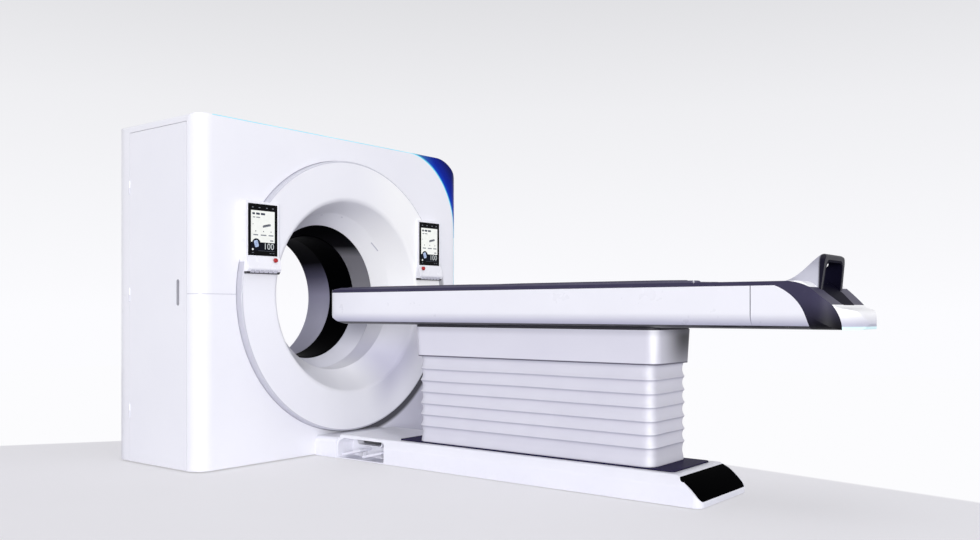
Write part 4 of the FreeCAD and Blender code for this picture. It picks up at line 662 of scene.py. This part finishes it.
def bellows_folds():
    """Soft folds round the lift: hollowed bands between narrow ridges that stand out."""
    low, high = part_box("bellows")
    size, centre = high - low, (low + high) / 2
    to_middle = Matrix.Translation(-Vector((centre.x, centre.y, 0)))
    bm = bmesh.new()
    # the layer holds the painted shade under the ridges
    under = bm.verts.layers.float.new("ridge_shade")
    fold_outline(bm, low, high)
    ring, verts = bm.edges[:], bm.verts[:]
    at, drawn = low.z, 0.0
    for level, inset, dark in fold_levels(low.z, high.z):
        if level > low.z:
            made = bmesh.ops.extrude_edge_only(bm, edges=ring)["geom"]
            ring = [item for item in made if isinstance(item, bmesh.types.BMEdge)]
            verts = [item for item in made if isinstance(item, bmesh.types.BMVert)]
        bmesh.ops.translate(bm, vec=(0, 0, level - at), verts=verts)
        fit = [(side / 2 - inset * FOLD_DEPTH) / (side / 2 - drawn * FOLD_DEPTH) for side in (size.x, size.y)]
        bmesh.ops.scale(bm, vec=(*fit, 1), verts=verts, space=to_middle)
        for vert in verts:
            vert[under] = dark
        at, drawn = level, inset
    for vert in bm.verts:
        x, y, z = vert.co
        free = clamp(min((z - low.z) / 0.05, (high.z - z) / 0.03))
        wave = noise.noise(Vector((x * 4.0, y * 2.3, z * 6.0)))
        swell = noise.noise(Vector((y * 1.7, x * 3.0, z * 5.0 + 7.0)))
        vert.co.z += wave * WAVE_HEIGHT * free
        vert.co.x -= math.copysign(swell * swell * WAVE_DEPTH, x - centre.x) * free
    made = piece("bellows_folds", bm, "root", [finishes["bellows_rubber"]])
    modifier(made, "SOLIDIFY", thickness=CLOTH_THICK, offset=-1.0)
    modifier(made, "SUBSURF", levels=1, render_levels=1)
    joints = frame["record"]["behaviour"]["joints"]
    travel = next(-joint["range_m"][0] for joint in joints if joint["name"] == "table_lift")
    keep = (size.z - travel) / size.z
    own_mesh(made)
    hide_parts("bellows")


bellows_folds()


# ---- mattress --------------------------------------------------------------------------------
PAD_THICK = 0.022
PAD_SIDE = 0.006                # gaps between the mattress and the CAD pad's sides, ends and bottom
PAD_END = 0.010
PAD_BED = 0.003
PAD_SEAMS = 5
SEAM_REACH = 0.007
SEAM_DEPTH = 0.0042
CLOTH_STEPS = 16
MOST_SWELL = 0.006
SHELL_GAP = 0.0012              # the cover stays this far off the trough
WELT_RADIUS = 0.0022
WELT_LIFT = 0.0006              # how far the welt's centre lies above the cover
WELT_ACROSS = (-1.0, -0.98, -0.8, -0.5, -0.2, 0.2, 0.5, 0.8, 0.98, 1.0)       # shares of the arc
WELT_ALONG = (0.006,) + tuple(step / 16 for step in range(1, 16)) + (0.994,)  # shares of the length


def pad_slab(low, high):
    """Flat-ended slab bent to the trough's arc."""
    turn = math.asin((high.x - PAD_SIDE) / TROUGH_RADIUS)
    axis = Vector((0, 0, TROUGH_CENTRE))
    bm = bmesh.new()
    bmesh.ops.create_grid(bm, x_segments=1, y_segments=1, size=0.5)
    bmesh.ops.rotate(bm, cent=(0, 0, 0), matrix=Matrix.Rotation(math.radians(90), 3, "Y"), verts=bm.verts)
    bmesh.ops.scale(bm, vec=(1, high.y - low.y - 2 * PAD_END, PAD_THICK), verts=bm.verts)
    bed = TROUGH_CENTRE - TROUGH_RADIUS + PAD_BED
    bmesh.ops.translate(bm, vec=(0, (low.y + high.y) / 2, bed + PAD_THICK / 2), verts=bm.verts)
    bmesh.ops.rotate(bm, cent=axis, matrix=Matrix.Rotation(turn, 3, "Y"), verts=bm.verts)
    bmesh.ops.spin(bm, geom=bm.faces[:], cent=axis, axis=(0, 1, 0), angle=-2 * turn, steps=24,
                   use_duplicate=False)
    bmesh.ops.remove_doubles(bm, verts=bm.verts, dist=0.0001)
    return bm


def blow_up(made):
    """Simulates the cover as cloth over the foam, with a little pressure inside."""
    cloth = modifier(made, "CLOTH")
    cloth.settings.use_pressure = True
    cloth.settings.uniform_pressure_force = 4.0
    cloth.settings.effector_weights.gravity = 0.0
    cloth.settings.quality = 4
    cloth.collision_settings.use_self_collision = False
    for step in range(1, CLOTH_STEPS + 1):
        bpy.context.scene.frame_set(step)
    bake_modifiers(made)
    bpy.context.scene.frame_set(1)


def sewn(start, now, low, high):
    """Where a point of the cover ends: not far from its start, off the trough, drawn in at a seam."""
    moved = now - start
    if moved.length > MOST_SWELL:
        moved *= MOST_SWELL / moved.length
    at = start + moved
    out = Vector((at.x, 0, at.z - TROUGH_CENTRE))
    if out.length > TROUGH_RADIUS - SHELL_GAP:
        out *= (TROUGH_RADIUS - SHELL_GAP) / out.length
    upper = clamp((TROUGH_RADIUS - out.length - 0.012) / 0.008)
    span = (high.y - low.y) / (PAD_SEAMS + 1)
    seam = round((at.y - low.y) / span) * span + low.y
    if low.y + 0.1 < seam < high.y - 0.1:
        out *= 1 + SEAM_DEPTH * math.exp(-((at.y - seam) / SEAM_REACH) ** 2) * upper / out.length
    return Vector((out.x, at.y, out.z + TROUGH_CENTRE))


def mattress():
    """Foam mattress in a coated cover: blown up slightly as cloth, then sewn across."""
    low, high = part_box("cradle_pad")
    made = piece("cradle_mattress", pad_slab(low, high), "cradle", [finishes["pad_vinyl"]])
    bpy.context.view_layer.objects.active = made
    modifier(made, "REMESH", mode="VOXEL", voxel_size=0.009)
    bake_modifiers(made)
    starts = [vert.co.copy() for vert in made.data.vertices]
    blow_up(made)
    for vert, start in zip(made.data.vertices, starts):
        vert.co = sewn(start, vert.co, low, high)
    modifier(made, "SUBSURF", levels=1, render_levels=1)
    bake_modifiers(made)
    for polygon in made.data.polygons:
        polygon.use_smooth = True
    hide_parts("cradle_pad")
    return made


def welt(name, points, radius, material, body):
    """Thin round welt along a closed row of points."""
    curve = bpy.data.curves.new(name, "CURVE")
    curve.dimensions = "3D"
    curve.bevel_depth = radius
    curve.bevel_resolution = 2
    line = curve.splines.new("NURBS")
    line.points.add(len(points) - 1)
    for point, place in zip(line.points, points):
        point.co = (*place, 1.0)
    line.order_u = 3
    line.use_cyclic_u = True
    curve.materials.append(material)
    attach(link(name, curve), body)


def mattress_welt(pad):
    """Piping sewn round the mattress's upper edge, laid on its surface."""
    low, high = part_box("cradle_pad")
    turn = math.asin((high.x - 0.012) / TROUGH_RADIUS)
    radius = TROUGH_RADIUS - PAD_THICK
    first, last = high.y - 0.018, low.y + 0.018
    across = [(math.sin(turn * share) * radius, TROUGH_CENTRE - math.cos(turn * share) * radius)
              for share in WELT_ACROSS]
    along = [first - (first - last) * share for share in WELT_ALONG]
    (left_x, left_z), (right_x, right_z) = across[0], across[-1]
    loop = [Vector((x, first, z)) for x, z in across]
    loop += [Vector((right_x, y, right_z)) for y in along]
    loop += [Vector((x, last, z)) for x, z in reversed(across)]
    loop += [Vector((left_x, y, left_z)) for y in reversed(along)]
    laid = []
    for point in loop:
        found, place, normal, face = pad.closest_point_on_mesh(point)
        laid.append(place + normal * WELT_LIFT)
    welt("mattress_piping", laid, WELT_RADIUS, finishes["pad_vinyl"], "cradle")


mattress_welt(mattress())


# ---- displays --------------------------------------------------------------------------------
INK = lit_face("display ink", paint(62, 68, 84))
MARKS = lit_face("display grey marks", paint(128, 132, 142))
DIM = lit_face("display dim marks", paint(92, 95, 104))
PAGE = lit_face("display page white", paint(250, 252, 249))
NIGHT = lit_face("display night blue", paint(9, 12, 22))
RING = lit_face("display ring blue", paint(52, 92, 158))
TUBE = lit_face("display pale blue", paint(186, 203, 236))
FIGURE = lit_face("display figures", paint(206, 212, 214))
DISPLAY = [INK, MARKS, DIM, PAGE, NIGHT, RING, TUBE, FIGURE]
LAYER = 0.0003                  # step between the lit plates that lie over each other
PLATE_THICK = 0.00015
CAP_HEIGHT = 0.72               # height of a figure as a share of the font's size


class Panel:
    """Layout of thin lit plates on one display; places are shares across and down the glass."""

    def __init__(self, side):
        low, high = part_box("console_screens")
        self.bm = bmesh.new()
        self.size = (GLASS_WIDTH, high.z - low.z)
        self.corner = Vector((high.x - GLASS_WIDTH if side > 0 else low.x, low.y, high.z))

    def add(self, part, place, finish, turn=0.0, level=1):
        """Lays a flat mesh, made round the origin, on the glass."""
        at = self.corner + Vector((place[0] * self.size[0], -LAYER * level, -place[1] * self.size[1]))
        stand = Matrix.Rotation(math.radians(90), 4, "X") @ Matrix.Rotation(math.radians(turn), 4, "Z")
        bmesh.ops.transform(part, matrix=Matrix.Translation(at) @ stand, verts=part.verts)
        for face in part.faces:
            face.material_index = DISPLAY.index(finish)
        mesh = bpy.data.meshes.new("plate")
        part.to_mesh(mesh)
        part.free()
        self.bm.from_mesh(mesh)
        bpy.data.meshes.remove(mesh)

    def plate(self, place, size, finish, corner=0.0, turn=0.0, level=1):
        """Oblong plate, with round corners if asked."""
        part = bmesh.new()
        bmesh.ops.create_grid(part, x_segments=1, y_segments=1, size=0.5)
        bmesh.ops.scale(part, vec=(size[0], size[1], 1), verts=part.verts)
        if corner:
            bmesh.ops.bevel(part, geom=part.verts[:], offset=corner, segments=5, profile=0.5,
                            affect="VERTICES", material=-1)
        self.add(part, place, finish, turn, level)

    def disc(self, place, radius, finish, level=1, hole=0.0):
        """Round plate, or a ring."""
        part = bmesh.new()
        bmesh.ops.create_circle(part, cap_ends=True, segments=40, radius=radius)
        if hole:
            rim = bmesh.ops.inset_region(part, faces=part.faces[:], thickness=radius - hole)["faces"]
            bmesh.ops.delete(part, geom=[f for f in part.faces if f not in rim], context="FACES_ONLY")
        self.add(part, place, finish, 0.0, level)

    def number(self, place, text, height, finish, level=1):
        """Figures of a setting."""
        curve = bpy.data.curves.new("figures", "FONT")
        curve.body = text
        curve.size = height / CAP_HEIGHT
        curve.align_x = "CENTER"
        curve.align_y = "CENTER"
        curve.resolution_u = 4
        holder = bpy.data.objects.new("figures", curve)
        mesh = bpy.data.meshes.new_from_object(holder)
        bpy.data.objects.remove(holder)
        part = bmesh.new()
        part.from_mesh(mesh)
        bpy.data.meshes.remove(mesh)
        self.add(part, place, finish, 0.0, level)


def display(name, side):
    """Page of a control panel: scan picture, three settings and the tube's reading."""
    page = Panel(side)
    page.plate((0.50, 0.435), (0.165, 0.178), PAGE, 0.002)
    page.plate((0.50, 0.825), (0.165, 0.048), NIGHT, 0.002)
    # heading, two short lines and the tube's sketch
    for place, width in ((0.185, 0.018), (0.33, 0.026), (0.50, 0.030)):
        page.plate((place, 0.192), (width, 0.0115), INK, 0.003, level=2)
    for place, width in ((0.20, 0.016), (0.335, 0.026)):
        page.plate((place, 0.262), (width, 0.0056), MARKS, 0.001, level=2)
    page.plate((0.165, 0.395), (0.005, 0.005), MARKS, 0.001, level=2)
    page.plate((0.63, 0.415), (0.058, 0.012), MARKS, 0.003, 13.0, 2)
    page.plate((0.62, 0.404), (0.046, 0.008), DIM, 0.003, 13.0, 3)
    # three round settings with their captions
    for place, width in ((0.255, 0.032), (0.52, 0.040), (0.776, 0.034)):
        page.disc((place, 0.528), 0.0088, MARKS, 2, 0.0042)
        page.plate((place, 0.528), (0.0060, 0.0060), INK, 0.001, 45.0, 3)
        page.plate((place, 0.600), (width, 0.0066), MARKS, 0.001, level=2)
    page.plate((0.80, 0.700), (0.022, 0.0070), MARKS, 0.001, level=2)
    # dial with the scanned body
    page.disc((0.275, 0.770), 0.0295, NIGHT, 2)
    page.disc((0.275, 0.770), 0.0280, RING, 3, 0.0262)
    page.plate((0.275, 0.770), (0.0270, 0.0390), TUBE, 0.008, 16.0, 4)
    for step in (-0.5, 0.0, 0.5):
        page.plate((0.275 - step * 0.014, 0.770 + step * 0.060), (0.0180, 0.0018), RING, 0.0, 16.0, 5)
    # reading, and the marks along both ends
    page.plate((0.155, 0.880), (0.010, 0.010), PAGE, 0.001, 45.0, 3)
    page.number((0.70, 0.820), "100", 0.036, FIGURE, 3)
    page.plate((0.62, 0.905), (0.115, 0.0014), DIM, level=3)
    for place in (0.16, 0.76, 0.86):
        page.plate((place, 0.945), (0.013, 0.0042), DIM, 0.001, level=2)
    for place in (0.157, 0.384, 0.635, 0.843):
        page.plate((place, 0.072), (0.011, 0.0046), MARKS, 0.001, level=2)
    made = piece(name, page.bm, "root", DISPLAY, smooth=False)
    modifier(made, "SOLIDIFY", thickness=PLATE_THICK, offset=-1.0)


display("panel_page_left", -1)
display("panel_page_right", 1)


# ---- screws ----------------------------------------------------------------------------------
def screw_heads(name, places, radius, slot):
    """Round heads with a sunk middle, on faces at the scanner's back."""
    head = bmesh.new()
    bmesh.ops.create_cone(head, cap_ends=True, segments=16, radius1=radius, radius2=radius * 0.82,
                          depth=radius * 0.55)
    bmesh.ops.translate(head, vec=(0, 0, radius * 0.27), verts=head.verts)
    top = max(head.faces, key=lambda face: face.calc_center_median().z)
    bmesh.ops.inset_region(head, faces=[top], thickness=radius * 0.36)
    bmesh.ops.translate(head, vec=(0, 0, -radius * 0.34), verts=top.verts)
    mesh = bpy.data.meshes.new("head")
    turn = Vector((0, 1, 0)).to_track_quat("Z", "Y").to_matrix().to_4x4()
    bm = bmesh.new()
    for place in places:
        copy = head.copy()
        bmesh.ops.transform(copy, matrix=Matrix.Translation(place) @ turn, verts=copy.verts)
        copy.to_mesh(mesh)
        copy.free()
        bm.from_mesh(mesh)
    head.free()
    bpy.data.meshes.remove(mesh)
    piece(name, bm, "root", [finishes[slot]], smooth=False)


def cover_screws():
    """Screws down both sides of the rear covers and at the corners of the grilles."""
    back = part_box("rear_cover_upper")[1].y
    cover_places = [(side * 0.830, back, z) for side in (-1, 1)
                    for z in (0.060, 0.500, 0.915, 1.025, 1.400, 1.780)]
    screw_heads("rear_cover_screws", cover_places, 0.007, "grille_grey")
    low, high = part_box("vent_grilles")
    grille_places = [(side * x, high.y, z) for side in (-1, 1) for x in (high.x - 0.010, high.x - 0.290)
                     for z in (low.z + 0.006, high.z - 0.006)]
    screw_heads("grille_screws", grille_places, 0.0042, "hinge_steel")


cover_screws()


# ---- room, light and camera ------------------------------------------------------------------
# two lines on the floor, in the photograph's room, beyond which it is as pale as the background
FAR_LINES = (((-1.265, 1.440), (-0.649, 1.024)), ((0.899, -2.793), (0.674, -3.920)))
FLOOR_REACH = 9.0
EVEN_SHARE = 0.55               # how much of the floor's tone is the same all over
# (twice the height of the line of sight, tone) of the background
SKY_TONES = ((0.0, 252), (0.06, 250), (0.24, 245), (0.42, 239), (0.52, 233), (0.64, 225))


def backdrop():
    """Pale background, brightest at the horizon, and the light that comes from all round."""
    scene = bpy.context.scene
    scene.view_settings.view_transform = "Standard"
    f = Finish("soft room", "worlds")
    scene.world = f.made
    height = f.axes(f.node("TexCoord", out=0))[2]
    tones = [(place, paint(tone, tone, tone + 3)) for place, tone in SKY_TONES]
    seen = f.node("Background", sockets={0: f.ramp(height * 2.0, tones)})
    lit = f.node("Background", sockets={0: (0.955, 0.958, 1.0, 1.0), 1: AMBIENT})
    camera_ray, glossy, clear = f.rays("Is Camera Ray", "Is Glossy Ray", "Is Transmission Ray")
    straight = camera_ray.math("MAXIMUM", glossy.math("MAXIMUM", clear))
    f.node("OutputWorld", sockets={0: f.node("MixShader", sockets={0: straight, 1: lit, 2: seen})})


def floor():
    """Pale floor that turns into the background beyond two lines, and keeps the shadows before them."""
    bm = bmesh.new()
    bmesh.ops.create_grid(bm, x_segments=8, y_segments=8, size=FLOOR_REACH)
    mesh = bpy.data.meshes.new("floor")
    bm.to_mesh(mesh)
    bm.free()
    f = Finish("pale floor")
    x, y, z = f.axes()
    tone = f.mix(f.grain(0.8, 3.0).between(0.3, 0.7), paint(229, 228, 234), paint(232, 231, 237))
    lit = f.node("BsdfPrincipled", sockets={"Base Color": tone, "Roughness": f.grain(30.0) * 0.05 + 0.6,
                                            "Specular IOR Level": 0.2})
    beyond = []
    for (x0, y0), (x1, y1) in FAR_LINES:
        long = math.hypot(x1 - x0, y1 - y0)
        away = (x - x0) * ((y0 - y1) / long) + (y - y0) * ((x1 - x0) / long)
        beyond.append(away.between(-0.02, 0.03))
    far_share = beyond[0].math("MAXIMUM", beyond[1])
    camera_ray, = f.rays("Is Camera Ray")
    far = f.node("Emission", sockets={"Color": paint(252, 252, 254)})
    even = f.node("Emission", sockets={"Color": paint(240, 239, 243)})
    near = f.node("MixShader", sockets={0: camera_ray * EVEN_SHARE, 1: lit, 2: even})
    mixed = f.node("MixShader", sockets={0: far_share * camera_ray, 1: near, 2: far})
    f.node("OutputMaterial", sockets={"Surface": mixed})
    mesh.materials.append(f.made)
    link("floor", mesh)


def aim(made, place, direction):
    """Puts a lamp or camera at a place, looking along a direction."""
    made.location = place
    made.rotation_mode = "QUATERNION"
    made.rotation_quaternion = direction.to_track_quat("-Z", "Y")


def lamp(name, place, target, size, watts):
    """White rectangular area lamp, aimed at a target."""
    data = bpy.data.lights.new(name, "AREA")
    data.shape = "RECTANGLE"
    data.size, data.size_y = size
    data.energy = watts
    aim(link(name, data), place, Vector(target) - Vector(place))


def camera():
    """The photograph's camera: level, with its horizon shifted."""
    data = bpy.data.cameras.new("viewpoint")
    data.sensor_width = SENSOR
    data.lens = LENS
    data.shift_y = HORIZON_SHIFT
    made = link("viewpoint", data)
    aim(made, EYE, GAZE)
    bpy.context.scene.camera = made


camera()
backdrop()
floor()
lamp("overhead", (-1.0, -3.0, 8.0), (0.0, -1.2, 0.6), (6.0, 5.0), 150.0)
lamp("front left", (-18.0, -17.5, 3.6), (0.0, -0.8, 0.9), (7.0, 6.0), 3500.0)
lamp("behind right", (4.0, 1.5, 3.2), (0.0, -1.0, 0.9), (3.0, 2.5), 30.0)
